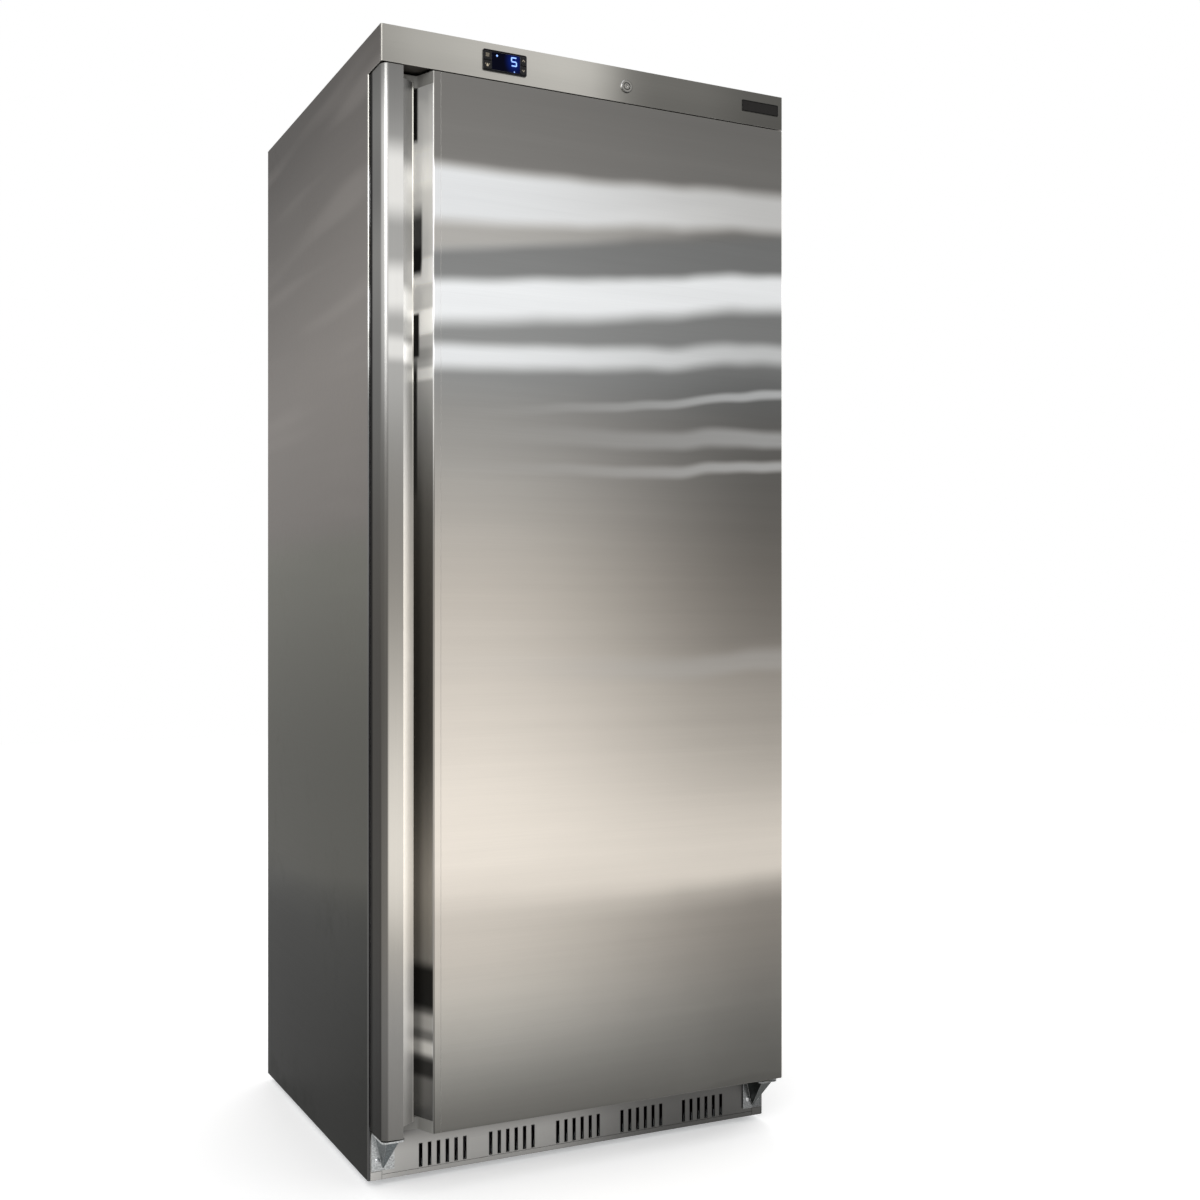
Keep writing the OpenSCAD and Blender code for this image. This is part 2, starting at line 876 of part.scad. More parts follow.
module controller_key(side, row) {
    color("darkslategray") along_y(bezel_front - key_proud, bezel_front + key_d)
        translate([key_mid(side), controller_z + row * key_z])
            round_rect(key_width(side), key_h, key_r);
}

module key_set() {
    controller_key(-1, 1);
}

module key_defrost() {
    controller_key(-1, -1);
}

module key_up() {
    controller_key(1, 1);
}

module key_down() {
    controller_key(1, -1);
}

// Lock rosette with its bevelled rim and barrel, held by its nut behind the fascia
module lock_housing() {
    rim_y = front + rosette_edge;
    color("gainsboro") difference() {
        union() {
            rod_y(lock_mid, lock_z, lock_d / 2, rim_y, fascia_y);
            translate([lock_mid, rim_y, lock_z]) rotate([90, 0, 0])
                cylinder(r1 = lock_d / 2, r2 = lock_d / 2 - rosette_edge, h = rosette_edge);
            rod_y(lock_mid, lock_z, barrel_r, fascia_y, fascia_y + barrel_l);
            translate([lock_mid, fascia_y + sheet_t + nut_t, lock_z]) rotate([90, 0, 0])
                cylinder(r = barrel_r + nut_wall, h = nut_t, $fn = 6);
        }
        rod_y(lock_mid, lock_z, plug_r + run, front - past, fascia_y + barrel_l + past);
    }
}

// Turning plug with its key slot, and the cam that drops into the door's top cap
module lock_cylinder() {
    color("gainsboro") {
        difference() {
            rod_y(lock_mid, lock_z, plug_r, front + plug_sunk, cam_y);
            translate([lock_mid, front, lock_z])
                cube([key_slot_w, 2 * key_slot_d, key_slot_h], center = true);
        }
        along_y(cam_y, cam_y + cam_t) translate([lock_mid, lock_z]) {
            circle(cam_w / 2 + cam_boss);
            translate([0, -cam_w / 2]) square([cam_reach - cam_w / 2, cam_w]);
            translate([cam_reach - cam_w / 2, 0]) circle(cam_w / 2);
        }
    }
}

// Pressed bottom bracket: flange on the kick panel, carrying plate, and the
// hollow V between them
module bracket_body() {
    difference() {
        along_y(kick_face - bracket_t, kick_face)
            translate([hinge_x, (base_z + flange_up + bracket_z) / 2])
                square([bracket_w, bracket_z - base_z - flange_up], center = true);
        for (s = [-1, 1]) {
            rod_y(hinge_x + s * bracket_screw_x, bracket_screw_z, screw_hole_r,
                kick_face - bracket_t - past, kick_face + past);
        }
    }
    translate([hinge_x, 0, bracket_z - bracket_t]) linear_extrude(bracket_t) {
        translate([-bracket_w / 2, plate_front + nose_r])
            square([bracket_w, kick_face - plate_front - nose_r]);
        translate([-bracket_w / 2 + nose_r, plate_front]) square([bracket_w - 2 * nose_r, 2 * nose_r]);
        for (s = [-1, 1]) {
            translate([s * (bracket_w / 2 - nose_r), plate_front + nose_r]) circle(nose_r);
        }
    }
    difference() {
        gusset(0);
        gusset(gusset_t);
    }
}

// The V between flange and plate; a larger inset gives the hollow behind the sheet
module gusset(inset) {
    w = gusset_w - 2 * inset;
    y = kick_face - bracket_t + (inset > 0 ? past : 0.01);
    z = bracket_z - bracket_t + 0.01;
    rim = 0.5;
    hull() {
        translate([hinge_x - w / 2, y - rim, z - rim - inset * 0.2]) cube([w, rim, rim]);
        translate([hinge_x - 1, y - rim, gusset_apex + 3 * inset]) cube([2, rim, rim]);
        translate([hinge_x - w / 2 + 4, plate_front + 6 + 3 * inset, z - rim - inset * 0.2])
            cube([w - 8, rim, rim]);
    }
}

module hinge_bracket_right() {
    color("lightsteelblue") {
        bracket_body();
        translate([hinge_x, hinge_y, bracket_z - bracket_t])
            cylinder(r = hinge_pin_r, h = door_bottom + pin_reach - bracket_z + bracket_t);
    }
}

module hinge_bracket_left() {
    color("lightsteelblue") mirror_x(true) bracket_body();
}

// Top hinge: angle plate inside the fascia, with its pin down into the door
module top_hinge_plate() {
    z0 = fascia_z + sheet_t;
    color("lightsteelblue") {
        along_x(hinge_x - top_plate_half, hinge_x + top_plate_half) polygon([
            [hinge_y - top_plate_front, z0], [case_y, z0], [case_y, z0 + top_plate_h],
            [case_y - bracket_t, z0 + top_plate_h], [case_y - bracket_t, z0 + bracket_t],
            [hinge_y - top_plate_front, z0 + bracket_t]]);
        for (s = [-1, 1]) {
            rod_y(hinge_x + s * bracket_screw_x, z0 + rivet_up, screw_head_r,
                case_y - bracket_t - screw_head_h, case_y - bracket_t);
        }
        translate([hinge_x, hinge_y, door_top - pin_reach])
            cylinder(r = hinge_pin_r, h = z0 + bracket_t - door_top + pin_reach);
    }
}

// Screw along Y: domed head with a cross recess on the face, shank behind it
module screw_y(x, z, face, length) {
    tip = face - screw_head_h;
    difference() {
        intersection() {
            rod_y(x, z, screw_head_r, tip, face);
            translate([x, tip + screw_dome_r, z]) sphere(screw_dome_r);
        }
        for (turn = [0, 90]) {
            translate([x, tip, z]) rotate([0, turn, 0]) cube([cross_l, 2 * cross_d, cross_w], center = true);
        }
    }
    rod_y(x, z, screw_hole_r - run, face - cross_d, face + length);
}

module bracket_screws() {
    face = case_y - sheet_t - bracket_t;
    color("gainsboro") for (s = [-1, 1], k = [-1, 1]) {
        screw_y(s * hinge_x + k * bracket_screw_x, bracket_screw_z, face, bracket_t + sheet_t);
    }
}

// Slotted uprights: a channel with hook slots, one at each corner of the cavity
module shelf_uprights() {
    rows = floor((upright_z1 - upright_z0 - 2 * hook_up) / upright_pitch);
    color("gainsboro") for (s = [0, 1], y = upright_ys) {
        mirror_x(s == 1) {
            along_x(-upright_face - upright_t, -upright_face) difference() {
                translate([y - upright_w / 2, upright_z0])
                    square([upright_w, upright_z1 - upright_z0]);
                for (k = [0 : rows]) {
                    translate([y - hook_w / 2, upright_z0 + hook_up + k * upright_pitch])
                        square([hook_w, hook_h]);
                }
            }
            for (e = [0, 1]) {
                leg_y = y - upright_w / 2 + e * (upright_w - upright_t);
                block([-in_x, leg_y, upright_z0],
                    [-upright_face - upright_t, leg_y + upright_t, upright_z1]);
            }
        }
    }
}

// Hook clips on the uprights, each with a ledge under the shelf's side rod
module shelf_clips() {
    reach = shelf_side_gap + 2 * rod_r + clip_ledge;
    side = clip_w / 2;
    color("gainsboro") for (s = [0, 1], y = upright_ys, z = shelf_zs) {
        mirror_x(s == 1) {
            block([-upright_face, y - side, z - rod_r - clip_t],
                [-upright_face + reach, y + side, z - rod_r]);
            block([-upright_face, y - side, z - rod_r - clip_t],
                [-upright_face + clip_t, y + side, z + clip_tab]);
        }
    }
}

// Welded wire shelf: frame of thick rod, two cross rods, thin wires front to back
module wire_shelf(z) {
    x = shelf_w / 2 - rod_r;
    y = shelf_d / 2 - rod_r;
    pitch = 2 * x / (wire_count + 1);
    translate([0, shelf_mid_y, z]) {
        for (s = [-1, 1]) {
            rod_x(s * y, 0, rod_r, -x, x);
            rod_y(s * x, 0, rod_r, -y, y);
            rod_x(s * y / 3, 0, rod_r, -x, x);
            for (t = [-1, 1]) {
                translate([s * x, t * y, 0]) sphere(rod_r);
            }
        }
        for (k = [1 : wire_count]) {
            translate([-x + k * pitch, y + wire_over, rod_r + wire_r - weld]) rotate([90, 0, 0])
                cylinder(r = wire_r, h = 2 * (y + wire_over), $fn = 8);
        }
    }
}

module wire_shelves() {
    color("silver") for (z = shelf_zs) {
        wire_shelf(z);
    }
}

// Section of the evaporator housing, inset by a wall, its lower front edge cut at a slant
module cover_section(wall, over) {
    slant = cover_slant - (2 - sqrt(2)) * wall;
    y = evap_y0 + wall;
    z = evap_z0 + wall;
    polygon([[y, z + slant], [y + slant, z], [in_back - wall, z], [in_back - wall, in_top + over],
        [y, in_top + over]]);
}

// Evaporator housing under the ceiling, with the ringed fan opening in its face
module evaporator_cover() {
    x = evap_w / 2;
    color("whitesmoke") {
        difference() {
            along_x(-x, x) cover_section(0, 0);
            along_x(-x + liner_t, x - liner_t) cover_section(liner_t, past);
            rod_y(0, fan_z, fan_hole_r, evap_y0 - past, evap_y0 + liner_t + past);
            for (s = [0, 1], k = [0 : louvre_count - 1]) {
                mirror_x(s == 1) {
                    louvre_z = evap_z0 + louvre_up + k * louvre_pitch;
                    block([fan_hole_r + louvre_margin, evap_y0 - past, louvre_z],
                        [x - louvre_margin, evap_y0 + liner_t + past, louvre_z + louvre_gap]);
                }
            }
        }
        translate([0, evap_y0 + liner_t, fan_z]) rotate([90, 0, 0]) {
            for (r = [guard_pitch : guard_pitch : fan_hole_r]) {
                rotate_extrude() translate([r, 0]) circle(guard_r, $fn = 16);
            }
        }
        for (a = [0 : 60 : 120]) {
            translate([0, evap_y0 + liner_t + 1.5 * guard_r, fan_z]) rotate([0, a, 0]) rotate([0, 90, 0])
                cylinder(r = guard_r, h = 2 * fan_hole_r + 4, center = true, $fn = 16);
        }
    }
}

// Finned coil: aluminium fins on copper tubes, which return in round bends at either end
module coil(x0, x1, y0, y1, z0, z1, fins, tubes) {
    pitch = (x1 - x0) / (fins - 1);
    rise = (z1 - z0) / tubes;
    mid = (y0 + y1) / 2;
    for (k = [0 : fins - 1]) {
        block([x0 + k * pitch - fin_t / 2, y0, z0], [x0 + k * pitch + fin_t / 2, y1, z1]);
    }
    for (t = [0 : tubes - 1]) {
        rod_x(mid, z0 + (t + 0.5) * rise, coil_tube_r, x0 - tube_over, x1 + tube_over);
    }
    for (t = [1 : tubes - 1]) {
        left = t % 2 == 1;
        translate([left ? x0 - tube_over : x1 + tube_over, mid, z0 + t * rise])
            rotate([90, left ? -90 : 90, 0]) rotate_extrude(angle = 180)
                translate([rise / 2, 0]) circle(coil_tube_r, $fn = 24);
    }
}

module evaporator_coil() {
    color("darkgray") {
        coil(evap_coil_side - evap_w / 2, evap_w / 2 - evap_coil_side, evap_y0 + evap_coil_front,
            in_back - evap_coil_side, evap_z0 + evap_coil_up, in_top, evap_fins, evap_rows);
    }
}

// One blade along X: a sheet bent round a far axis, tilted, with a round end and a narrower root
module fan_blade(r, root) {
    end_r = blade_end * r;
    bow = blade_camber * r;
    intersection() {
        rotate([blade_tilt, 0, 0]) translate([root, 0, blade_t - bow]) rotate([0, 90, 0]) difference() {
            cylinder(r = bow, h = r - root);
            translate([0, 0, -past]) cylinder(r = bow - blade_t, h = r - root + 2 * past);
        }
        translate([0, 0, -end_r]) linear_extrude(2 * end_r) {
            translate([r - end_r, 0]) circle(end_r);
            translate([root, -blade_root * r / 2]) square([r - end_r - root, blade_root * r]);
        }
    }
}

// Fan about an axis along Y
module fan_rotor(x, y, z, r, hub_r, depth) {
    translate([x, y, z]) rotate([-90, 0, 0]) {
        cylinder(r = hub_r, h = depth);
        for (k = [0 : blades - 1]) {
            translate([0, 0, depth / 2 + blade_lift * r]) rotate([0, 0, k * 360 / blades])
                fan_blade(r, blade_in * hub_r);
        }
    }
}

module evaporator_fan() {
    color("dimgray") difference() {
        fan_rotor(0, efan_y, fan_z, fan_r, efan_hub_r, efan_depth);
        rod_y(0, fan_z, shaft_r + run, efan_y + bore_start, efan_y + efan_depth + past);
    }
}

// Fan motor on a stand, its shaft in the fan's hub and its bearing's cap behind
module fan_motor(x, y, z, r, length, stand_z) {
    mid = y + length / 2;
    rod_y(x, z, r, y + motor_gap, y + length);
    rod_y(x, z, r / 2, y + length, y + length + motor_cap);
    rod_y(x, z, shaft_r, y - shaft_reach, y + motor_gap);
    block([x - stand_w / 2, mid - stand_d / 2, min(z, stand_z)],
        [x + stand_w / 2, mid + stand_d / 2, max(z, stand_z)]);
}

module evaporator_fan_motor() {
    color("gray") fan_motor(0, efan_y + efan_depth, fan_z, emotor_r, emotor_l, in_top);
}

module temperature_probe() {
    color("black") {
        x = evap_w / 2 - probe_side;
        z = evap_z0 - probe_drop;
        rod_x(in_back - 4 * probe_r, z, probe_r, x - probe_l, x);
        block([x - probe_l * 0.7, in_back - 5 * probe_r, z - probe_r],
            [x - probe_l * 0.45, in_back, z + probe_r]);
    }
}

// Hermetic compressor: two pressed shells with their weld seam, on four rubber mounts
module compressor() {
    seam_z = comp_z + comp_h * comp_split;
    foot = comp_r - comp_foot_in;
    color("dimgray") {
        translate([comp_x, comp_y, 0]) {
            translate([0, 0, comp_z]) rotate_extrude() {
                square([comp_r - comp_dome, comp_h]);
                translate([0, comp_dome]) square([comp_r, comp_h - 2 * comp_dome]);
                for (z = [comp_dome, comp_h - comp_dome]) {
                    translate([comp_r - comp_dome, z]) circle(comp_dome);
                }
            }
            translate([0, 0, seam_z]) cylinder(r = comp_r + comp_seam, h = comp_seam_h);
            for (sx = [-1, 1], sy = [-1, 1]) {
                translate([sx * foot, sy * foot, comp_z - comp_plate])
                    cylinder(r = grommet_head_r, h = comp_plate);
                translate([sx * foot, sy * foot, tray_top])
                    cylinder(r = grommet_r, h = comp_z - comp_plate - tray_top);
            }
            translate([0, 0, comp_z - comp_plate]) linear_extrude(1.5 * comp_plate)
                square(2 * foot, center = true);
        }
        translate([0, 0, comp_z + terminal_up]) linear_extrude(seam_z - comp_z - terminal_up - comp_seam)
            translate([comp_x + comp_r, comp_y])
                round_rect(2 * terminal_d, terminal_w, comp_seam);
    }
}

module condenser_coil() {
    x0 = cond_x - cond_w / 2;
    x1 = cond_x + cond_w / 2;
    color("darkgray") {
        coil(x0 + cond_fin_in, x1 - cond_fin_in, cond_y, cond_y + cond_d, cond_z + cond_foot,
            cond_z + cond_h, cond_fins, cond_rows);
        for (s = [-1, 1]) {
            plate_mid = cond_x + s * (cond_w / 2 - cond_plate_in);
            block([plate_mid - cond_plate_t / 2, cond_y - cond_plate_t, cond_z],
                [plate_mid + cond_plate_t / 2, cond_y + cond_d + cond_plate_t,
                    cond_z + cond_h + cond_foot]);
        }
    }
}

// Shroud of the condenser fan, its motor and the motor's stand
module condenser_fan_motor() {
    y = cond_y + cond_d + cond_plate_t;
    x = cond_w / 2 - shroud_in;
    color("gray") {
        difference() {
            block([cond_x - x, y, cond_z], [cond_x + x, y + shroud_t, cond_z + cond_h + cond_foot]);
            rod_y(cond_x, cfan_z, cfan_r + 4, y - past, y + shroud_t + past);
        }
        fan_motor(cond_x, cfan_y + cfan_depth, cfan_z, cmotor_r, cmotor_l, cond_z);
    }
}

module condenser_fan() {
    color("dimgray") difference() {
        fan_rotor(cond_x, cfan_y, cfan_z, cfan_r, cfan_hub_r, cfan_depth);
        rod_y(cond_x, cfan_z, shaft_r + run, cfan_y + bore_start, cfan_y + cfan_depth + past);
    }
}

// Copper tube through corner points, with a brazed elbow at each corner
module tube(points, r) {
    for (k = [0 : len(points) - 2]) {
        a = points[k];
        d = points[k + 1] - a;
        l = norm(d);
        turn = abs(d[0]) > 0 ? [0, 90, 0] : abs(d[1]) > 0 ? [90, 0, 0] : [0, 0, 0];
        from = abs(d[0]) > 0 ? (d[0] > 0 ? a : points[k + 1])
            : abs(d[1]) > 0 ? (d[1] > 0 ? points[k + 1] : a)
            : (d[2] > 0 ? a : points[k + 1]);
        translate(from) rotate(turn) cylinder(r = r, h = l, $fn = 24);
    }
    for (k = [1 : len(points) - 2]) {
        translate(points[k]) sphere(r + 0.6, $fn = 24);
    }
}

// Height of a tube row of the condenser
function cond_row(t) = cond_z + cond_foot + (t + 0.5) * (cond_h - cond_foot) / cond_rows;

module refrigerant_pipes() {
    row_y = cond_y + cond_d / 2;
    coil_x = cond_x + cond_w / 2 - cond_plate_in + cond_plate_t / 2;
    pot_x = comp_x - comp_r;
    low_z = comp_z + 60;
    high_z = comp_z + 145;
    discharge_x = pot_x - 28;
    suction_x = pot_x - 16;
    liquid_x = pot_x - 44;
    liquid_y = row_y + 20;
    color("peru") {
        tube([[pot_x, comp_y, low_z], [discharge_x, comp_y, low_z], [discharge_x, row_y, low_z],
            [discharge_x, row_y, cond_row(cond_rows - 1)], [coil_x, row_y, cond_row(cond_rows - 1)]],
            pipe_r);
        tube([[pot_x, comp_y, high_z], [suction_x, comp_y, high_z], [suction_x, comp_y, mach_z - 12],
            [suction_x, rear_face - 14, mach_z - 12], [suction_x, rear_face - 14, mach_z - sheet_t]],
            pipe_r + 1);
        tube([[coil_x, row_y, cond_row(0)], [liquid_x, row_y, cond_row(0)],
            [liquid_x, liquid_y, cond_row(0)], [liquid_x, liquid_y, mach_z - pipe_drop],
            [liquid_x, comp_y, mach_z - pipe_drop], [liquid_x, comp_y, mach_z - sheet_t]], pipe_r);
        translate([liquid_x, liquid_y, cond_z + drier_l]) cylinder(r = drier_r, h = drier_l);
    }
}

module evaporation_tray() {
    x0 = cond_x + cond_w / 2 + pan_left;
    x1 = comp_x - comp_r - pan_right;
    y0 = cond_y + cond_d + pan_front;
    y1 = rear_face - pan_back;
    color("white") difference() {
        block([x0, y0, tray_top], [x1, y1, tray_top + pan_h]);
        block([x0 + pan_t, y0 + pan_t, tray_top + pan_t], [x1 - pan_t, y1 - pan_t, tray_top + pan_h + past]);
    }
}

module rear_grille() {
    x = half_w - skin_return;
    z0 = base_z + tray_edge;
    pitch_x = 2 * (x - grille_margin) / grille_columns;
    pitch_z = (mach_z - z0 - grille_margin) / grille_rows;
    color("lightgrey") along_y(rear_face, back - sheet_t) difference() {
        translate([-skin_x, base_z]) square([2 * skin_x, mach_z - base_z]);
        for (i = [0 : grille_columns - 1], k = [0 : grille_rows - 1]) {
            cx = -x + grille_margin + (i + 0.5) * pitch_x;
            cz = z0 + grille_margin / 2 + (k + 0.5) * pitch_z;
            if (abs(cx - power_x) > 0.8 * pitch_x || k > grille_rows / 2) {
                translate([cx, cz]) rotate(90) translate([0, -pitch_x * grille_fill / 2])
                    slot_2d(grille_slot, pitch_x * grille_fill);
            }
        }
        translate([power_x, power_z]) circle(power_r + fit_gap);
    }
}

// Cable inlet in the rear grille: a moulded gland with its nut
module power_inlet() {
    color("black") difference() {
        union() {
            rod_y(power_x, power_z, power_r, rear_face - power_r, back);
            rod_y(power_x, power_z, 1.5 * power_r, rear_face - power_r / 2, rear_face);
            rod_y(power_x, power_z, 1.5 * power_r, back - sheet_t, back);
        }
        rod_y(power_x, power_z, power_r / 2, rear_face - power_r - past, back + past);
    }
}

// Forks of the rear rollers, with their axles
module roller_forks() {
    leg = roller_w / 2 + 2 * gap;
    color("lightgrey") for (s = [-1, 1]) {
        translate([s * roller_x, roller_y, 0]) {
            for (t = [-1, 1]) {
                mirror([t < 0 ? 1 : 0, 0, 0]) {
                    along_y(-fork_half, fork_half) polygon([
                        [leg, base_z - fork_down], [leg + fork_t, base_z - fork_down],
                        [leg + fork_t, tray_top], [leg + fork_foot, tray_top],
                        [leg + fork_foot, tray_top + fork_t], [leg + fork_t, tray_top + fork_t],
                        [leg + fork_t, roller_r + fork_up], [leg, roller_r + fork_up]]);
                }
            }
            rod_x(0, roller_r, axle_r, -leg - axle_end, leg + axle_end);
        }
    }
}

// Wheel turned from one profile: tread with round edges, web and hub
module roller(side) {
    half = roller_w / 2;
    color("gray") translate([side * roller_x, roller_y, roller_r]) rotate([0, 90, 0]) difference() {
        rotate_extrude() difference() {
            union() {
                translate([0, -half]) square([roller_r - roller_edge, roller_w]);
                translate([0, roller_edge - half]) square([roller_r, roller_w - 2 * roller_edge]);
                for (s = [-1, 1]) {
                    translate([roller_r - roller_edge, s * (half - roller_edge)]) circle(roller_edge);
                }
            }
            for (s = [-1, 1]) {
                translate([roller_hub_r, s > 0 ? roller_web / 2 : -half - past])
                    square([roller_r - roller_tread - roller_hub_r, half + past - roller_web / 2]);
            }
        }
        translate([0, 0, -half - past]) cylinder(r = axle_r + run, h = roller_w + 2 * past);
    }
}

module rear_roller_left() {
    roller(-1);
}

module rear_roller_right() {
    roller(1);
}

// Foot: coned pad, hexagon and stem, screwed up into the boss of the base tray
module levelling_foot(side) {
    hub_z = foot_rim + foot_cone_h;
    color("gray") translate([side * foot_x, foot_y, 0]) {
        cylinder(r = foot_r, h = foot_rim);
        translate([0, 0, foot_rim]) cylinder(r1 = foot_r, r2 = foot_r - foot_cone, h = foot_cone_h);
        translate([0, 0, hub_z]) cylinder(r = stem_r + foot_hex, h = base_z - gap - hub_z, $fn = 6);
        cylinder(r = stem_r, h = base_z + stem_up - stem_chamfer);
        translate([0, 0, base_z + stem_up - stem_chamfer])
            cylinder(r1 = stem_r, r2 = stem_r - stem_chamfer, h = stem_chamfer);
    }
}

module levelling_foot_left() {
    levelling_foot(-1);
}

module levelling_foot_right() {
    levelling_foot(1);
}

// Door outline in plan, from its left edge and its face
module door_plan(inset) {
    union() {
        translate([inset, bar_r]) square([door_w - 2 * inset, door_t - bar_r - inset]);
        translate([bar_r, inset]) square([door_w - bar_r - door_edge_r, bar_r]);
        translate([bar_r, bar_r]) circle(bar_r - inset);
        translate([door_w - door_edge_r, door_edge_r]) circle(door_edge_r - inset);
        translate([bar_r, door_edge_r]) square([door_w - bar_r - inset, bar_r]);
    }
}

// Rounded right side of the channel: the slope from the mouth down to the floor.
// grow moves every wall outwards by the sheet's thickness.
module channel_right(left, depth, grow) {
    base_x = mouth_x - (mouth_x - well_x) * depth / channel_depth;
    cy = depth - well_r;
    cx = mouth_x - (mouth_x - well_x) * cy / channel_depth - well_r / cos(slope);
    off = grow / cos(slope);
    d = mouth_edge / tan((90 + slope) / 2);
    tip = [mouth_x + d, mouth_edge];
    polygon([[left, -past], [mouth_x + off + past * tan(slope), -past],
        [cx + (well_r + grow) * cos(slope), cy + (well_r + grow) * sin(slope)],
        [cx, depth + grow], [left, depth + grow]]);
    translate([cx, cy]) circle(well_r + grow + nick);
    difference() {
        polygon([[mouth_x - d * sin(slope), d * cos(slope)], tip, [mouth_x + d, -past],
            [mouth_x, -past]]);
        translate(tip) circle(mouth_edge - grow + nick);
    }
}

// Finger channel in plan; with grow it takes in the sheet that lines it and the lip
module channel_void(grow) {
    lean = atan(lip_drop / (lip_x - bar_w));
    under = [-lip_t * sin(lean), lip_t * cos(lean)];
    start = [bar_w - lip_t * tan(lean / 2), lip_t];
    difference() {
        union() {
            channel_right(channel_x + well_r, channel_depth, grow);
            translate([channel_x - grow, -past])
                square([well_r + grow + 1, channel_depth - well_r + past]);
            translate([channel_x + well_r, channel_depth - well_r]) circle(well_r + grow);
        }
        if (grow == 0) {
            polygon([[0, -2 * past], [0, lip_t], start, [lip_x, lip_drop] + under, [lip_x, lip_drop],
                [bar_w, 0], [bar_w, -2 * past]]);
        }
    }
}

// Scooped groove of the end caps
module groove_void() {
    channel_right(bar_w, groove_depth, 0);
}

module place_door() {
    translate([door_x, front, 0]) children();
}

// Keeps what lies inside the door's front view, with its rounded right corners
module door_trim(x0) {
    r = door_corner_r;
    intersection() {
        children();
        along_y(-past, door_t + past) {
            translate([x0, door_bottom]) square([door_w - r - x0, door_h]);
            translate([x0, door_bottom + r]) square([door_w - x0, door_h - 2 * r]);
            for (z = [door_bottom + r, door_top - r]) {
                translate([door_w - r, z]) circle(r);
            }
        }
    }
}

// The bent sheet round the door, without the open middle of its back
module skin_ring() {
    difference() {
        door_plan(0);
        door_plan(sheet_t);
        translate([skin_return, door_t - sheet_t]) square([door_w - 2 * skin_return, 2 * past]);
    }
}

// Bar, lip and finger channel in one profile; at the ends only its outer sheet runs on
module handle_profile() {
    color("silver") place_door() {
        translate([0, 0, door_bottom]) linear_extrude(door_h) intersection() {
            difference() {
                skin_ring();
                groove_void();
            }
            square([handle_w, door_t]);
        }
        translate([0, 0, cap_low]) linear_extrude(cap_high - cap_low) intersection() {
            difference() {
                union() {
                    skin_ring();
                    difference() {
                        channel_void(sheet_t);
                        translate([0, -2 * past]) square([door_w, 2 * past]);
                    }
                }
                channel_void(0);
            }
            square([handle_w, door_t]);
        }
    }
}

module door_skin() {
    left = handle_w + gap;
    color("silver") place_door() door_trim(left) {
        translate([0, 0, door_bottom]) linear_extrude(door_h) intersection() {
            skin_ring();
            translate([left, 0]) square([door_w - left, door_t]);
        }
    }
}

module door_foam() {
    color("khaki") place_door() translate([0, 0, cap_low]) linear_extrude(cap_high - cap_low)
        difference() {
            door_plan(sheet_t);
            channel_void(sheet_t);
            translate([0, liner_y]) square([door_w, door_t]);
        }
}

// End cap of the door, with the scoop at the end of the finger channel
module door_cap(z) {
    door_trim(sheet_t) translate([0, 0, z]) linear_extrude(cap_h) difference() {
        door_plan(sheet_t);
        groove_void();
        translate([0, liner_y]) square([door_w, door_t]);
    }
}

module door_top_cap() {
    color("slategray") difference() {
        place_door() door_cap(cap_high);
        translate([hinge_x, hinge_y, door_top - bush_l]) cylinder(r = bush_r, h = bush_l + past);
        block([lock_mid - cam_w / 2 - cam_side, cam_y - cam_room, pocket_z],
            [lock_mid + cam_reach, cam_y + cam_t + cam_room, door_top + past]);
    }
}

module door_bottom_cap() {
    color("slategray") difference() {
        place_door() door_cap(door_bottom);
        translate([hinge_x, hinge_y, door_bottom - past]) cylinder(r = bush_r, h = bush_l + past);
    }
}

// Door liner: flat pan with a raised frame that stands into the cavity
module door_liner() {
    w = 2 * (in_x - dike_gap);
    h = in_top - floor_z - 2 * dike_gap;
    mid = (in_top + floor_z) / 2;
    edge = sheet_t + gap;
    color("white") {
        place_door() block([edge, liner_y, door_bottom + liner_edge],
            [door_w - edge, liner_y + liner_t, door_top - liner_edge]);
        along_y(front + liner_y, door_back + dike_d) translate([0, mid]) difference() {
            round_rect(w, h, dike_r);
            round_rect(w - 2 * liner_t, h - 2 * liner_t, dike_r - liner_t);
        }
        along_y(front + liner_y, door_back + dike_d) translate([0, mid]) difference() {
            round_rect(w - 2 * dike_w + 2 * liner_t, h - 2 * dike_w + 2 * liner_t,
                dike_inner_r + liner_t);
            round_rect(w - 2 * dike_w, h - 2 * dike_w, dike_inner_r);
        }
        along_y(door_back + dike_d - liner_t, door_back + dike_d) translate([0, mid]) difference() {
            round_rect(w, h, dike_r);
            round_rect(w - 2 * dike_w, h - 2 * dike_w, dike_inner_r);
        }
    }
}

// One layer of the gasket: a frame inset from the gasket's outer edge
module gasket_layer(y0, y1, inset, width) {
    w = door_w - 2 * gasket_in - 2 * inset;
    h = door_h - 2 * gasket_end - 2 * inset;
    mid = (door_top + door_bottom) / 2;
    along_y(y0, y1) translate([0, mid]) difference() {
        square([w, h], center = true);
        square([w - 2 * width, h - 2 * width], center = true);
    }
}

// Gasket: foot on the door, narrower neck, and the head that holds the magnet
module door_gasket() {
    y0 = front + door_t - sheet_t;
    y1 = case_y - gap;
    neck_y = y0 + (y1 - y0) * gasket_foot;
    head_y = neck_y + (y1 - y0) * gasket_neck;
    color("dimgray") {
        gasket_layer(y0, neck_y, 0, gasket_w);
        gasket_layer(neck_y, head_y, gasket_w * 0.2, gasket_w * 0.6);
        gasket_layer(head_y, y1, gasket_w * 0.1, gasket_w * 0.8);
    }
}

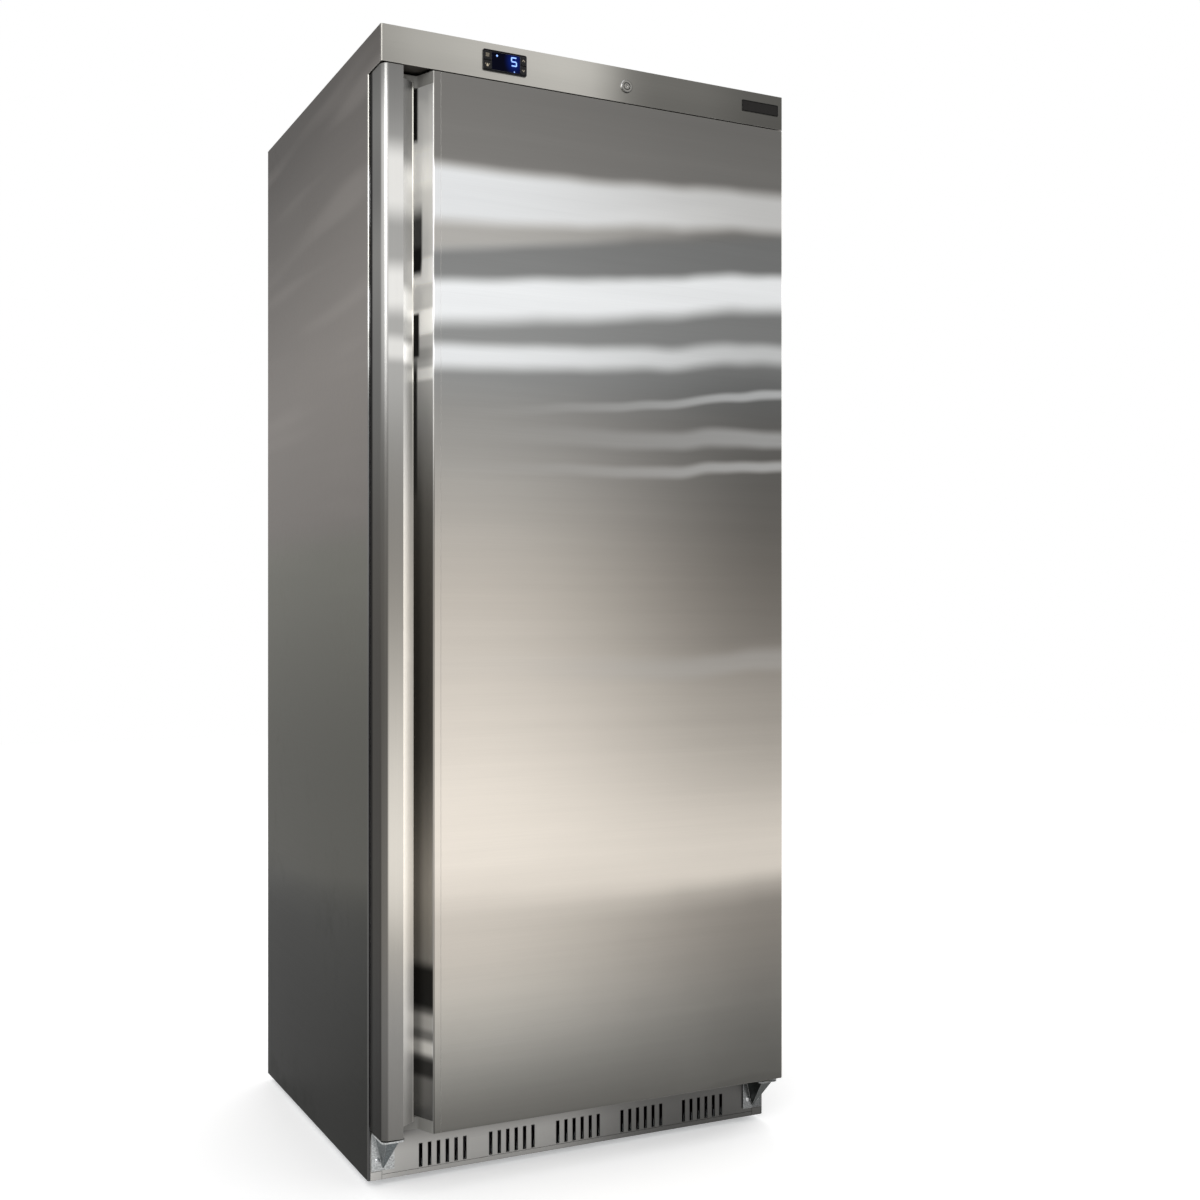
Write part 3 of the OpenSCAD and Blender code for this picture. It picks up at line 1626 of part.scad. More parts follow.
// Nylon bushes in the door; the lower one carries the door on its bracket
module hinge_bushes() {
    bore_r = hinge_pin_r + run;
    color("ivory") translate([hinge_x, hinge_y, 0]) {
        difference() {
            union() {
                translate([0, 0, bracket_z + gap]) cylinder(r = bush_flange_r, h = bush_flange_t);
                translate([0, 0, door_bottom]) cylinder(r = bush_r, h = bush_l);
            }
            translate([0, 0, bracket_z]) cylinder(r = bore_r, h = bush_flange_t + pin_reach + 2 * gap);
        }
        difference() {
            translate([0, 0, door_top - bush_l]) cylinder(r = bush_r, h = bush_l);
            translate([0, 0, door_top - pin_reach - gap]) cylinder(r = bore_r, h = bush_l);
        }
    }
}

side_panel_left();
side_panel_right();
top_panel();
rear_panel();
underfloor_sheet();
base_tray();
front_frame();
foam_left();
foam_right();
foam_top();
foam_back();
foam_floor();
inner_liner();
kick_panel();
kick_rail();
fascia_panel();
bare_plate();
controller_housing();
display_window();
display_digits();
lock_housing();
hinge_bracket_right();
hinge_bracket_left();
top_hinge_plate();
bracket_screws();
shelf_uprights();
shelf_clips();
wire_shelves();
evaporator_cover();
evaporator_coil();
evaporator_fan_motor();
temperature_probe();
compressor();
condenser_coil();
condenser_fan_motor();
refrigerant_pipes();
evaporation_tray();
rear_grille();
power_inlet();
roller_forks();
door_skin();
handle_profile();
door_foam();
door_top_cap();
door_bottom_cap();
door_liner();
door_gasket();
hinge_bushes();
lock_cylinder();
key_set();
key_defrost();
key_up();
key_down();
evaporator_fan();
condenser_fan();
rear_roller_left();
rear_roller_right();
levelling_foot_left();
levelling_foot_right();
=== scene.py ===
"""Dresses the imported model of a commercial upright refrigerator.

The frame comes from the CAD model. This script gives every piece its finish, makes the fine pieces
that the eye looks for, and sets up the studio: floor, lamps, world and camera.
"""

from __future__ import annotations

import logging
import math
from dataclasses import dataclass
from enum import Enum
from functools import reduce
from typing import Callable, Iterable, Sequence, Union

import bmesh
import bpy
import numpy as np
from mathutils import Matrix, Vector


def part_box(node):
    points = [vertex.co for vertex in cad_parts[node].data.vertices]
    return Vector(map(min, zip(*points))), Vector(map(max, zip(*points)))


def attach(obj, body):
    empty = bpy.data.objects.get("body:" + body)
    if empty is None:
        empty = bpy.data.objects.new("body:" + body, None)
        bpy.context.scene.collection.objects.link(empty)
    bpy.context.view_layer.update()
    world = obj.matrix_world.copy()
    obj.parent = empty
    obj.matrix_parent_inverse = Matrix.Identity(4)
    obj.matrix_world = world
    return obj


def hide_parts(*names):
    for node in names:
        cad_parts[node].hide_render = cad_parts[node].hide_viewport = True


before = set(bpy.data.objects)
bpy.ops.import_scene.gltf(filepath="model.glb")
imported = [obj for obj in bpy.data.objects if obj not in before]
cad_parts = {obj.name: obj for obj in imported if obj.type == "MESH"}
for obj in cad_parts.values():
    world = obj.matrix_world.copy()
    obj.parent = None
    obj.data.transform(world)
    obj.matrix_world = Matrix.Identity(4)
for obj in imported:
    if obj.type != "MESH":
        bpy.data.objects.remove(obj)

LOG = logging.getLogger("refrigerator")
MM = 0.001
Socket = bpy.types.NodeSocket
Sockets = Sequence[Socket]
Value = Union[float, Sequence[float], Socket]
Pair = tuple[float, float]
Triple = tuple[float, float, float]

# The parts of the object, in metres, along which the steel's painted reflections are given.
UPRIGHT = (0.09, 1.84)
WHOLE_HEIGHT = (0.0, 1.9)
WIDTH = (-0.39, 0.39)

# Faces count as ahead, or as a top, between these parts of their direction.
AHEAD = (-0.25, -0.8)
TOP = (0.5, 0.9)

NEUTRAL = (1.0, 1.0, 1.0)


def seen(level: float) -> float:
    """The linear light of a level seen on a screen, 0 to 255, by the screen standard's curve."""
    v = level / 255.0
    return v / 12.92 if v <= 0.04045 else ((v + 0.055) / 1.055) ** 2.4


def seen_colour(*levels: float) -> tuple[float, float, float, float]:
    """The linear colour of three seen levels, or the grey of one, with full alpha."""
    red, green, blue = levels * 3 if len(levels) == 1 else levels
    return (seen(red), seen(green), seen(blue), 1.0)


# ---------------------------------------------------------------------------- shader recipes


class Recipe:
    """Builds one node tree: of a material, of the world or of a shader group."""

    def __init__(self, tree: bpy.types.NodeTree) -> None:
        """Starts on a tree, whose nodes stay as they are."""
        self.tree = tree

    def add(self, kind: str, feeds: dict | None = None, **settings) -> bpy.types.Node:
        """Adds a shader node.

        Args:
            kind: The node's type without its ShaderNode prefix.
            feeds: Values or sockets for the node's inputs, by name or number.
            settings: The node's own settings.

        Returns:
            The node.
        """
        node = self.tree.nodes.new("ShaderNode" + kind)
        for key, value in settings.items():
            setattr(node, key, value)
        return self.fill(node, feeds or {})

    def fill(self, node: bpy.types.Node, feeds: dict) -> bpy.types.Node:
        """Gives a node's inputs their values or links.

        Args:
            node: The node.
            feeds: Values or sockets for its inputs, by name or number.

        Returns:
            The same node.
        """
        for key, value in feeds.items():
            if isinstance(value, bpy.types.NodeSocket):
                self.tree.links.new(value, node.inputs[key])
            else:
                node.inputs[key].default_value = value
        return node

    def group(self, name: str, feeds: dict | None = None) -> bpy.types.Node:
        """Places a shader group with values or sockets for its named inputs."""
        return self.add("Group", feeds, node_tree=bpy.data.node_groups[name])

    def math(self, operation: str, *values: Value, clamp: bool = False) -> Socket:
        """The result of one of Blender's math operations, kept between 0 and 1 where clamp is set."""
        return self.add("Math", dict(enumerate(values)), operation=operation, use_clamp=clamp).outputs[0]

    def times(self, *factors: Value) -> Socket:
        """The product of several values, or the place where several masks all lie."""
        return reduce(lambda product, factor: self.math("MULTIPLY", product, factor), factors)

    def sway(self, noise: Value, swing: Value, base: Value = 1.0, clamp: bool = False) -> Socket:
        """A base plus swing times how far a noise lies from its middle."""
        return self.math("MULTIPLY_ADD", self.math("SUBTRACT", noise, 0.5), swing, base, clamp=clamp)

    def away(self, across: Value, up: Value) -> Socket:
        """The distance that two lengths at right angles make."""
        squares = [self.times(side, side) for side in (across, up)]
        return self.math("SQRT", self.math("ADD", *squares))

    def spot(self) -> Socket:
        """The Object coordinates of the shaded point."""
        return self.add("TexCoord").outputs["Object"]

    def place(self) -> Sockets:
        """The three Object coordinates of the shaded point, in metres."""
        return tuple(self.add("SeparateXYZ", {0: self.spot()}).outputs)

    def facing(self) -> Sockets:
        """The three parts of the surface's own direction in Object coordinates."""
        return tuple(self.add("SeparateXYZ", {0: self.add("TexCoord").outputs["Normal"]}).outputs)

    def noise(self, vector: Value, scale: Value, detail: float = 2.0, rough: float = 0.5) -> Socket:
        """A noise between 0 and 1 at a place, with as many finer layers as detail, as strong as rough."""
        feeds = {"Vector": vector, "Scale": scale, "Detail": detail, "Roughness": rough}
        return self.add("TexNoise", feeds).outputs[0]

    def drawn(self, stretch: Value, scale: float = 1.0, detail: float = 1.0, rough: float = 0.5) -> Socket:
        """A noise, as noise(), over the Object coordinates times a stretch in each direction."""
        place = self.add("VectorMath", {0: self.spot(), 1: stretch}, operation="MULTIPLY").outputs[0]
        return self.noise(place, scale, detail, rough)

    def rise(self, value: Value, low: Value, high: Value, out: tuple[Value, Value] = (0.0, 1.0)) -> Socket:
        """A smooth step between two results as a value goes from low to high, whichever is greater."""
        feeds = {0: value, 1: low, 2: high, 3: out[0], 4: out[1]}
        return self.add("MapRange", feeds, interpolation_type="SMOOTHSTEP").outputs[0]

    def mix(self, factor: Value, first: Value, second: Value, blend: str = "MIX") -> Socket:
        """Mixes a share of a second colour into a first, in one of Blender's ways."""
        feeds = {0: factor, 6: first, 7: second}
        return self.add("Mix", feeds, data_type="RGBA", blend_type=blend).outputs[2]

    def blend(self, factor: Value, first: Value, second: Value) -> Socket:
        """Mixes two numbers by a factor."""
        return self.add("Mix", {0: factor, 2: first, 3: second}, data_type="FLOAT").outputs[0]

    def paint(self, colour: Value, mask: Value, *levels: float) -> Socket:
        """Lays a colour of seen levels over another where a mask lies."""
        return self.mix(mask, colour, seen_colour(*levels))

    def scaled(self, colour: Value, factor: Value) -> Socket:
        """A colour times a number."""
        grey = self.add("CombineXYZ", {0: factor, 1: factor, 2: factor}).outputs[0]
        return self.mix(1.0, colour, grey, "MULTIPLY")

    def tint(self, height: Socket, start: Triple, steps: Sequence[tuple[float, float, Triple]]) -> Value:
        """A tint that changes along a height.

        Args:
            height: The height.
            start: The tint's factors before the first step.
            steps: Where each step starts and ends, and the factors that it leads to.

        Returns:
            The tint's colour.
        """
        colour = (*start, 1.0)
        for low, high, factors in steps:
            colour = self.mix(self.rise(height, low, high), colour, (*factors, 1.0))
        return colour

    def ramp(self, value: Value, stops: Sequence[Pair], span: Pair = UPRIGHT) -> Socket:
        """A row of seen levels along a line.

        Args:
            value: The place on the line.
            stops: Each place on the line with its seen level.
            span: The line's start and end.

        Returns:
            A grey colour.
        """
        low, high = span
        node = self.add("ValToRGB", {0: self.add("MapRange", {0: value, 1: low, 2: high}).outputs[0]})
        node.color_ramp.interpolation = "B_SPLINE"
        elements = node.color_ramp.elements
        elements.remove(elements[1])
        for i, (where, level) in enumerate(stops):
            part = (where - low) / (high - low)
            element = elements[0] if i == 0 else elements.new(part)
            element.position = part
            element.color = seen_colour(level)
        return node.outputs[0]

    def bands(
        self, height: Socket, tone: Value, strips: Sequence[Strip], across: Value = 0.0, right: Value = 0.0
    ) -> tuple[Socket, Socket]:
        """Lays painted reflections of lamp strips over a tone.

        Args:
            height: The height of the shaded point.
            tone: The colour under the strips.
            strips: The strips, from the top.
            across: How far right the point lies, in metres.
            right: The same from 0 to 1.

        Returns:
            The colour with the strips, and where they cover it.
        """
        cover = None
        for strip in strips:
            feeds = {key: getattr(strip, key.lower()) for key in STRIP_SOCKETS}
            mask = self.group("Lamp strip", feeds | {"Across": across, "Height": height}).outputs[0]
            mask = self.math("MULTIPLY", mask, self.blend(right, strip.near, strip.far), clamp=True)
            tone = self.paint(tone, mask, strip.level)
            if not strip.warm:
                cover = mask if cover is None else self.math("MAXIMUM", cover, mask)
        return tone, cover


@dataclass(frozen=True)
class Strip:
    """A lamp strip's soft image on steel.

    Heights are in metres. The strip's line climbs by slant per metre across, its half height changes
    by taper per metre, and its strength goes from near at the left to far at the right. It fades over
    a height of fade above it and of fade and sag together below it. A warm strip keeps the tint of
    the steel round it.
    """

    centre: float
    half: float
    level: float
    fade: float = 0.03
    slant: float = 0.0
    taper: float = 0.0
    near: float = 1.0
    far: float = 1.0
    sag: float = 0.0
    warm: bool = False


# The inputs that the lamp strip's group takes from a strip, with their first values.
STRIP_SOCKETS = {"Centre": 1.5, "Slant": 0.0, "Half": 0.03, "Taper": 0.0, "Fade": 0.03, "Sag": 0.0}


class Effects:
    """The shader groups that several finishes share, each built once."""

    OUTPUT_KINDS = {"Normal": "NodeSocketVector", "Color": "NodeSocketColor"}
    LEAST_HALF = 0.002
    DOOR_LEFT_EDGE = 0.27
    DOOR_SPAN = 0.66
    # The lean of the painted warm cast's edge, and the cool tint of the painted lamp reflections.
    LEAN_OF_WARM = -0.14
    COOL = (0.985, 1.0, 1.01, 1.0)

    def build(self) -> None:
        """Builds every group."""
        lines = {"Stretch": (2.0, 2.0, 900.0), "Depth": 0.1}
        line = {"Across": 0.0, "Height": 0.0} | STRIP_SOCKETS
        self.make("Brush lines", lines, ("Tone", "Height"), self.brush_lines)
        self.make("Handling marks", {"Size": 4.0, "Cover": 0.5}, ("Mask",), self.handling)
        self.make("Edge rounding", {"Radius": 0.001}, ("Mask", "Normal"), self.rounding)
        self.make("Lamp strip", line, ("Mask",), self.lamp_strip)
        self.make("Front glow", {"Wave": 1.0}, ("Color",), self.front_glow)
        self.make("Side glow", {"Streaks": 0.14}, ("Color",), self.side_glow)

    def make(self, name: str, inputs: dict[str, Value], outputs: Sequence[str], build: Callable) -> None:
        """Makes a group with named sockets.

        Args:
            name: The group's name.
            inputs: Each input's first value.
            outputs: The outputs' names.
            build: Takes the group's recipe and its inputs, and returns the outputs' values.
        """
        tree = bpy.data.node_groups.new(name, "ShaderNodeTree")
        for key, value in inputs.items():
            kind = "NodeSocketVector" if isinstance(value, tuple) else "NodeSocketFloat"
            tree.interface.new_socket(name=key, in_out="INPUT", socket_type=kind).default_value = value
        for key in outputs:
            kind = self.OUTPUT_KINDS.get(key, "NodeSocketFloat")
            tree.interface.new_socket(name=key, in_out="OUTPUT", socket_type=kind)
        r = Recipe(tree)
        values = build(r, tree.nodes.new("NodeGroupInput").outputs)
        r.fill(tree.nodes.new("NodeGroupOutput"), dict(zip(outputs, values)))

    def brush_lines(self, r: Recipe, given: Sockets) -> Sockets:
        """Brush lines: noise drawn out along the stretch, coarse and fine together.

        Args:
            r: The group's recipe.
            given: Its inputs.

        Returns:
            Their tone and height.
        """
        coarse = r.times(r.drawn(given["Stretch"]), 0.45)
        fine = r.times(r.drawn(given["Stretch"], 3.1, 3.0, 0.6), 0.55)
        lines = r.math("ADD", coarse, fine)
        return r.sway(lines, given["Depth"]), lines

    def handling(self, r: Recipe, given: Sockets) -> Sockets:
        """Handling marks: wide soft patches broken by a finer one.

        Args:
            r: The group's recipe.
            given: Its inputs.

        Returns:
            Their mask.
        """
        place = r.spot()
        wide = r.noise(place, given["Size"], 4.0, 0.55)
        small = r.noise(place, r.times(given["Size"], 9.0), 3.0, 0.6)
        patches = r.math("ADD", r.times(wide, 0.7), r.times(small, 0.3))
        low = r.math("SUBTRACT", 0.62, r.times(given["Cover"], 0.25))
        return (r.rise(patches, low, r.math("ADD", low, 0.16)),)

    def rounding(self, r: Recipe, given: Sockets) -> Sockets:
        """Edges: where a rounded copy of the surface turns away from the surface itself.

        Args:
            r: The group's recipe.
            given: Its inputs.

        Returns:
            Their mask and the rounded surface's direction.
        """
        soft = r.add("Bevel", {"Radius": given["Radius"]}, samples=4).outputs[0]
        hard = r.add("NewGeometry").outputs["Normal"]
        same = r.add("VectorMath", {0: soft, 1: hard}, operation="DOT_PRODUCT").outputs["Value"]
        return r.rise(same, 0.995, 0.86), soft

    def lamp_strip(self, r: Recipe, given: Sockets) -> Sockets:
        """A lamp strip's soft image: full within its half height of a slanting line, fading outside.

        Args:
            r: The group's recipe.
            given: Its inputs.

        Returns:
            Its mask.
        """
        line = r.math("MULTIPLY_ADD", given["Across"], given["Slant"], given["Centre"])
        off = r.math("SUBTRACT", given["Height"], line)
        half = r.math("MULTIPLY_ADD", given["Across"], given["Taper"], given["Half"])
        half = r.math("MAXIMUM", half, self.LEAST_HALF)
        fade = r.math("MULTIPLY_ADD", r.math("LESS_THAN", off, 0.0), given["Sag"], given["Fade"])
        end = r.math("ADD", half, fade)
        return (r.rise(r.math("ABSOLUTE", off), half, end, (1.0, 0.0)),)

    def front_glow(self, r: Recipe, given: Sockets) -> Sockets:
        """The painted reflection on the upright front faces: a soft room in level bands, lighter towards
        the left.

        Args:
            r: The group's recipe.
            given: Its inputs.

        Returns:
            Its colour.
        """
        x, _, z = r.place()
        across = r.math("ADD", x, self.DOOR_LEFT_EDGE)
        right = r.rise(across, 0.0, self.DOOR_SPAN)
        flow = r.math("SUBTRACT", r.drawn((2.0, 0.0, 4.0), detail=2.0), 0.5)
        push = r.times(flow, r.math("MULTIPLY_ADD", right, 0.045, 0.008))
        push = r.sway(r.drawn((8.0, 0.0, 2.5)), r.blend(right, 0.006, 0.018), push)
        push = r.math("SUBTRACT", push, r.rise(right, 0.74, 1.0, (0.0, 0.011)))
        height = r.math("MULTIPLY_ADD", push, given["Wave"], z)
        tone = r.mix(right, r.ramp(height, DOOR_LEFT), r.ramp(height, DOOR_RIGHT))
        # Painted reflections of lamp strips.
        tone, cool = r.bands(height, tone, DOOR_STRIPS, across, right)
        tone = r.scaled(tone, r.sway(r.drawn((0.9, 0.0, 34.0), 1.0, 3.0, 0.6), 0.13))
        # A painted warm cast of the room by height, cool under the painted lamp strips.
        tint = r.tint(z, *DOOR_TINTS)
        lean = r.math("MULTIPLY_ADD", across, self.LEAN_OF_WARM, z)
        tint = r.mix(r.rise(lean, 1.53, 1.56), tint, (1.032, 1.0, 0.945, 1.0))
        return (r.mix(1.0, tone, r.mix(cool, tint, self.COOL), "MULTIPLY"),)

    def side_glow(self, r: Recipe, given: Sockets) -> Sockets:
        """The painted reflection on the side faces: grey above a soft slanting horizon, dark below it.

        Args:
            r: The group's recipe.
            given: Its inputs.

        Returns:
            Its colour.
        """
        _, y, z = r.place()
        height = r.sway(r.drawn((0.0, 2.0, 6.0), detail=2.0), 0.03, z)
        height = r.math("ADD", height, r.times(y, 0.12))
        tone = r.ramp(height, SIDE_TONES, WHOLE_HEIGHT)
        # Painted highlight streaks, high up.
        streak = r.rise(r.drawn((0.0, 1.3, 16.0)), 0.5, 0.72)
        high = r.times(r.rise(z, 0.9, 1.5), given["Streaks"])
        tone = r.paint(tone, r.times(streak, high), 190)
        # Painted shade low down towards the rear.
        rear = r.times(r.rise(y, -0.15, 0.3), r.rise(z, 0.5, 0.3))
        tone = r.scaled(tone, r.blend(rear, 1.0, 0.8))
        return (r.mix(1.0, tone, r.tint(z, *SIDE_TINTS), "MULTIPLY"),)


# Seen levels of the steel's soft room: heights in metres from the floor up.
# All these levels are painted reflections of the room and its lamp strips, with painted highlights and
# painted shade.
DOOR_LEFT = (
    (0.10, 90), (0.20, 133), (0.31, 174), (0.445, 180), (0.490, 203), (0.58, 219), (0.75, 205),
    (0.95, 187), (1.16, 160), (1.32, 138), (1.42, 148), (1.52, 131), (1.60, 128), (1.74, 120), (1.83, 115),
)
DOOR_RIGHT = (
    (0.10, 80), (0.28, 108), (0.41, 118), (0.448, 150), (0.475, 194), (0.56, 190), (0.70, 150),
    (0.82, 142), (0.89, 112), (1.10, 90), (1.33, 86), (1.42, 126), (1.50, 112), (1.62, 111), (1.83, 100),
)
DOOR_STRIPS = (
    Strip(1.570, 0.014, 174, fade=0.024, slant=0.140, near=0.96, far=0.1, warm=True),
    Strip(1.636, 0.030, 226, fade=0.030, slant=0.050, taper=-0.020, far=0.54),
    Strip(1.463, 0.018, 236, fade=0.026, slant=0.101, taper=-0.004, far=0.88, sag=0.011),
    Strip(1.370, 0.005, 232, fade=0.026, slant=0.066, taper=-0.003, near=0.98, far=0.50, sag=0.003),
    Strip(1.277, 0.001, 196, fade=0.011, slant=0.090, near=0.0, far=0.62),
    Strip(1.247, 0.005, 186, fade=0.018, slant=0.008, near=0.0, far=0.52),
    Strip(1.188, 0.002, 190, fade=0.014, slant=0.022, near=0.04, far=0.60),
    Strip(0.862, 0.006, 176, fade=0.024, slant=-0.020, near=0.02, far=0.30),
)
BAR_TONES = (
    (0.10, 104), (0.25, 128), (0.40, 146), (0.50, 200), (0.60, 206), (0.75, 188), (0.92, 146),
    (1.08, 127), (1.22, 140), (1.34, 178), (1.56, 162), (1.70, 160), (1.76, 134), (1.83, 116),
)
LIP_TONES = (
    (0.10, 108), (0.20, 138), (0.29, 186), (0.42, 200), (0.52, 230), (0.70, 234), (0.90, 220),
    (1.05, 196), (1.20, 172), (1.34, 152), (1.52, 126), (1.70, 104), (1.76, 97), (1.83, 97),
)
BAR_STRIPS = (
    Strip(1.645, 0.030, 226, fade=0.050),
    Strip(1.468, 0.016, 230, fade=0.036),
    Strip(1.376, 0.006, 222, fade=0.022),
)
LIP_STRIPS = (
    Strip(1.632, 0.020, 166, fade=0.040),
    Strip(1.448, 0.008, 196, fade=0.026),
    Strip(1.370, 0.006, 228, fade=0.018),
)
CORNER_TONES = (
    (0.10, 78), (0.25, 96), (0.50, 100), (0.80, 76), (1.10, 90), (1.22, 104), (1.31, 142),
    (1.38, 164), (1.50, 186), (1.60, 180), (1.70, 202), (1.77, 180), (1.83, 120),
)
EDGE_TONES = (
    (0.10, 50), (0.35, 60), (0.60, 70), (0.85, 76), (1.10, 90), (1.25, 112), (1.42, 126), (1.54, 150),
    (1.63, 112), (1.74, 140), (1.83, 112),
)
WALL_TONES = (
    (0.10, 76), (0.17, 84), (0.28, 98), (0.42, 94), (0.50, 114), (0.60, 84), (0.72, 46), (0.90, 50),
    (1.12, 62), (1.24, 110), (1.34, 165), (1.50, 200), (1.60, 184), (1.70, 204), (1.83, 162),
)
WALL_STRIPS = (
    Strip(1.680, 0.018, 216, fade=0.030),
    Strip(1.508, 0.014, 226, fade=0.014),
    Strip(1.425, 0.014, 232, fade=0.012),
    Strip(1.372, 0.004, 150, fade=0.012),
    Strip(1.340, 0.005, 214, fade=0.010),
    Strip(0.334, 0.026, 26, fade=0.024),
    Strip(0.277, 0.006, 132, fade=0.013),
    Strip(0.235, 0.004, 168, fade=0.014),
    Strip(0.202, 0.008, 40, fade=0.014),
)
# The wall's painted shade deep in the channel: middle, half height, fade, the depth where it starts, and
# level.
WALL_SHADES = (
    (1.775, 0.045, 0.012, 0.031, 22),
    (1.560, 0.030, 0.040, 0.022, 62),
    (1.528, 0.014, 0.016, 0.024, 26),
    (1.405, 0.032, 0.008, 0.028, 30),
    (1.250, 0.090, 0.050, 0.032, 36),
)
SIDE_TONES = (
    (0.02, 54), (0.15, 50), (0.28, 58), (0.38, 66), (0.43, 74), (0.475, 92), (0.69, 98),
    (0.87, 113), (1.05, 128), (1.17, 136), (1.36, 147), (1.47, 143), (1.65, 124), (1.77, 113),
    (1.83, 104), (1.89, 98),
)
# The same along the width, for the fascia and for the kick panel.
FASCIA_TONES = (
    (-0.38, 152), (-0.33, 166), (-0.25, 172), (-0.09, 188), (-0.01, 184), (0.035, 150), (0.07, 116),
    (0.12, 104), (0.22, 104), (0.27, 96), (0.31, 90), (0.38, 86),
)
KICK_TONES = (
    (-0.38, 184), (-0.33, 160), (-0.21, 156), (-0.13, 152), (-0.04, 150), (0.04, 116), (0.13, 92),
    (0.25, 82), (0.38, 78),
)
# A painted warm cast of the room: its factors low down, then each step's start and end and the factors that
# it leads to.
DOOR_TINTS = (
    (1.085, 1.0, 0.89),
    ((0.95, 1.35, (1.02, 1.0, 0.955)), (0.42, 0.15, (1.025, 1.0, 0.925)), (1.27, 1.36, (0.99, 1.0, 0.985))),
)
SIDE_TINTS = (
    (1.0, 1.0, 0.93),
    ((0.38, 0.5, (1.015, 1.0, 0.89)), (1.04, 1.12, (1.075, 1.0, 0.94))),
)
HANDLE_TINTS = (
    (1.06, 1.0, 0.9),
    ((0.95, 1.35, (1.012, 1.0, 0.965)), (0.45, 0.25, (1.025, 1.0, 0.95))),
)


# ---------------------------------------------------------------------------- finishes


class Grain(Enum):
    """Which way a brushed face was brushed, as the stretch of its lines."""

    LEVEL = (3.0, 3.0, 1100.0)
    UPRIGHT = (1100.0, 1100.0, 3.0)


class Relief(Enum):
    """The small relief of a finish."""

    UNEVEN = "fine pits or soft waves"
    SPANGLE = "crystal flakes of zinc"
    CELLS = "cut foam"


def new_material(name: str) -> tuple[bpy.types.Material, Recipe, bpy.types.Node]:
    """Starts a material with its shader and output.

    Args:
        name: The material's name.

    Returns:
        The material, its recipe and its Principled shader.
    """
    material = bpy.data.materials.new(name)
    material.use_nodes = True
    material.node_tree.nodes.clear()
    r = Recipe(material.node_tree)
    shader = r.add("BsdfPrincipled")
    r.add("OutputMaterial", {"Surface": shader.outputs[0]})
    return material, r, shader


@dataclass(frozen=True)
class Steel:
    """Brushed stainless sheet: a painted reflection of a soft room, brush lines, marks and painted
    highlights on the folds.

    Folds get a painted highlight at their own level over fold_radius in metres, and painted shade
    where that level is dark; rim is how bright the steel is at grazing angles; and a painted glow of
    its own strength stands in for light cast by a facing bend.
    """

    name: str
    grain: Grain = Grain.LEVEL
    level: float = 158.0
    rough: float = 0.3
    painted_fold: float = 0.35
    painted_fold_level: float = 227.0
    fold_radius: float = 0.0009
    rim: float = 1.0
    painted_glow: float = 0.0
    line_depth: float = 0.16
    mark_size: float = 3.0
    mark_cover: float = 0.5
    bump_depth: float = 0.06
    bump_height: float = 0.0002

    def tones(self, r: Recipe) -> Socket:
        """The steel's colour before brush lines: one level with wide soft patches.

        Args:
            r: The material's recipe.

        Returns:
            The colour.
        """
        low, high = (seen_colour(v, v - 2, v - 7) for v in (self.level - 16.0, self.level + 10.0))
        return r.mix(r.noise(r.spot(), 1.6, 2.0), low, high)

    def painted_glow_mask(self, r: Recipe) -> Value:
        """Where the painted glow that stands in for light cast by a facing bend lies: nowhere on a plain
        sheet.
        """
        return 0.0

    def painted_fold_share(self, r: Recipe) -> Value:
        """How strong the folds' painted highlight is: alike at every height of a plain sheet."""
        return self.painted_fold

    def build(self) -> bpy.types.Material:
        """Makes the material.

        Returns:
            The material.
        """
        material, r, shader = new_material(self.name)
        lines = r.group("Brush lines", {"Stretch": self.grain.value, "Depth": self.line_depth}).outputs
        colour = r.scaled(self.tones(r), lines["Tone"])
        marks = r.group("Handling marks", {"Size": self.mark_size, "Cover": self.mark_cover}).outputs[0]
        edges = r.group("Edge rounding", {"Radius": self.fold_radius}).outputs
        # A painted highlight on the folds; where the folds' level is dark, as in the kick panel's slots,
        # painted shade.
        painted_fold = r.times(edges["Mask"], self.painted_fold_share(r))
        colour = r.paint(colour, painted_fold, self.painted_fold_level, self.painted_fold_level - 2, self.painted_fold_level - 8)
        bump = {"Height": lines["Height"], "Normal": edges["Normal"]}
        bump |= {"Strength": self.bump_depth, "Distance": self.bump_height}
        rough = r.math("MULTIPLY_ADD", marks, 0.06, r.sway(lines["Height"], 0.12, self.rough))
        r.fill(shader, {
            "Base Color": colour,
            "Roughness": rough,
            "Metallic": 1.0,
            "Specular Tint": (self.rim, self.rim, self.rim, 1.0),
            "Normal": r.add("Bump", bump).outputs[0],
        })
        # A painted glow that stands in for light cast by a facing bend.
        if self.painted_glow:
            glow = r.scaled(colour, self.painted_glow_mask(r))
            r.fill(shader, {"Emission Color": glow, "Emission Strength": self.painted_glow})
        return material


@dataclass(frozen=True)
class SheetSteel(Steel):
    """Door and case sheets: the room's bands ahead and the side's tones to the left and right, as painted
    reflections.
    """

    # The painted highlight on bends, and the painted tone of faces turned up.
    bent: float = 1.1
    bend_highlight_colour: Triple = (236, 234, 226)
    painted_top_colour: Triple = (168, 166, 160)

    def tones(self, r: Recipe) -> Socket:
        """Painted reflections, front bands and side tones, by the face's direction, with a painted
        highlight on bends and a painted top tone.

        Args:
            r: The material's recipe.

        Returns:
            The colour.
        """
        nx, ny, nz = r.facing()
        side, front = (r.group(name).outputs[0] for name in ("Side glow", "Front glow"))
        colour = r.mix(r.rise(ny, *AHEAD), side, front)
        # A painted highlight on bends between the front and the sides, and a painted tone on faces turned
        # up.
        painted_fold = r.math("ABSOLUTE", r.times(nx, ny))
        painted_fold = r.math("MULTIPLY", painted_fold, self.bent, clamp=True)
        return r.paint(r.paint(colour, painted_fold, *self.bend_highlight_colour), r.rise(nz, *TOP), *self.painted_top_colour)


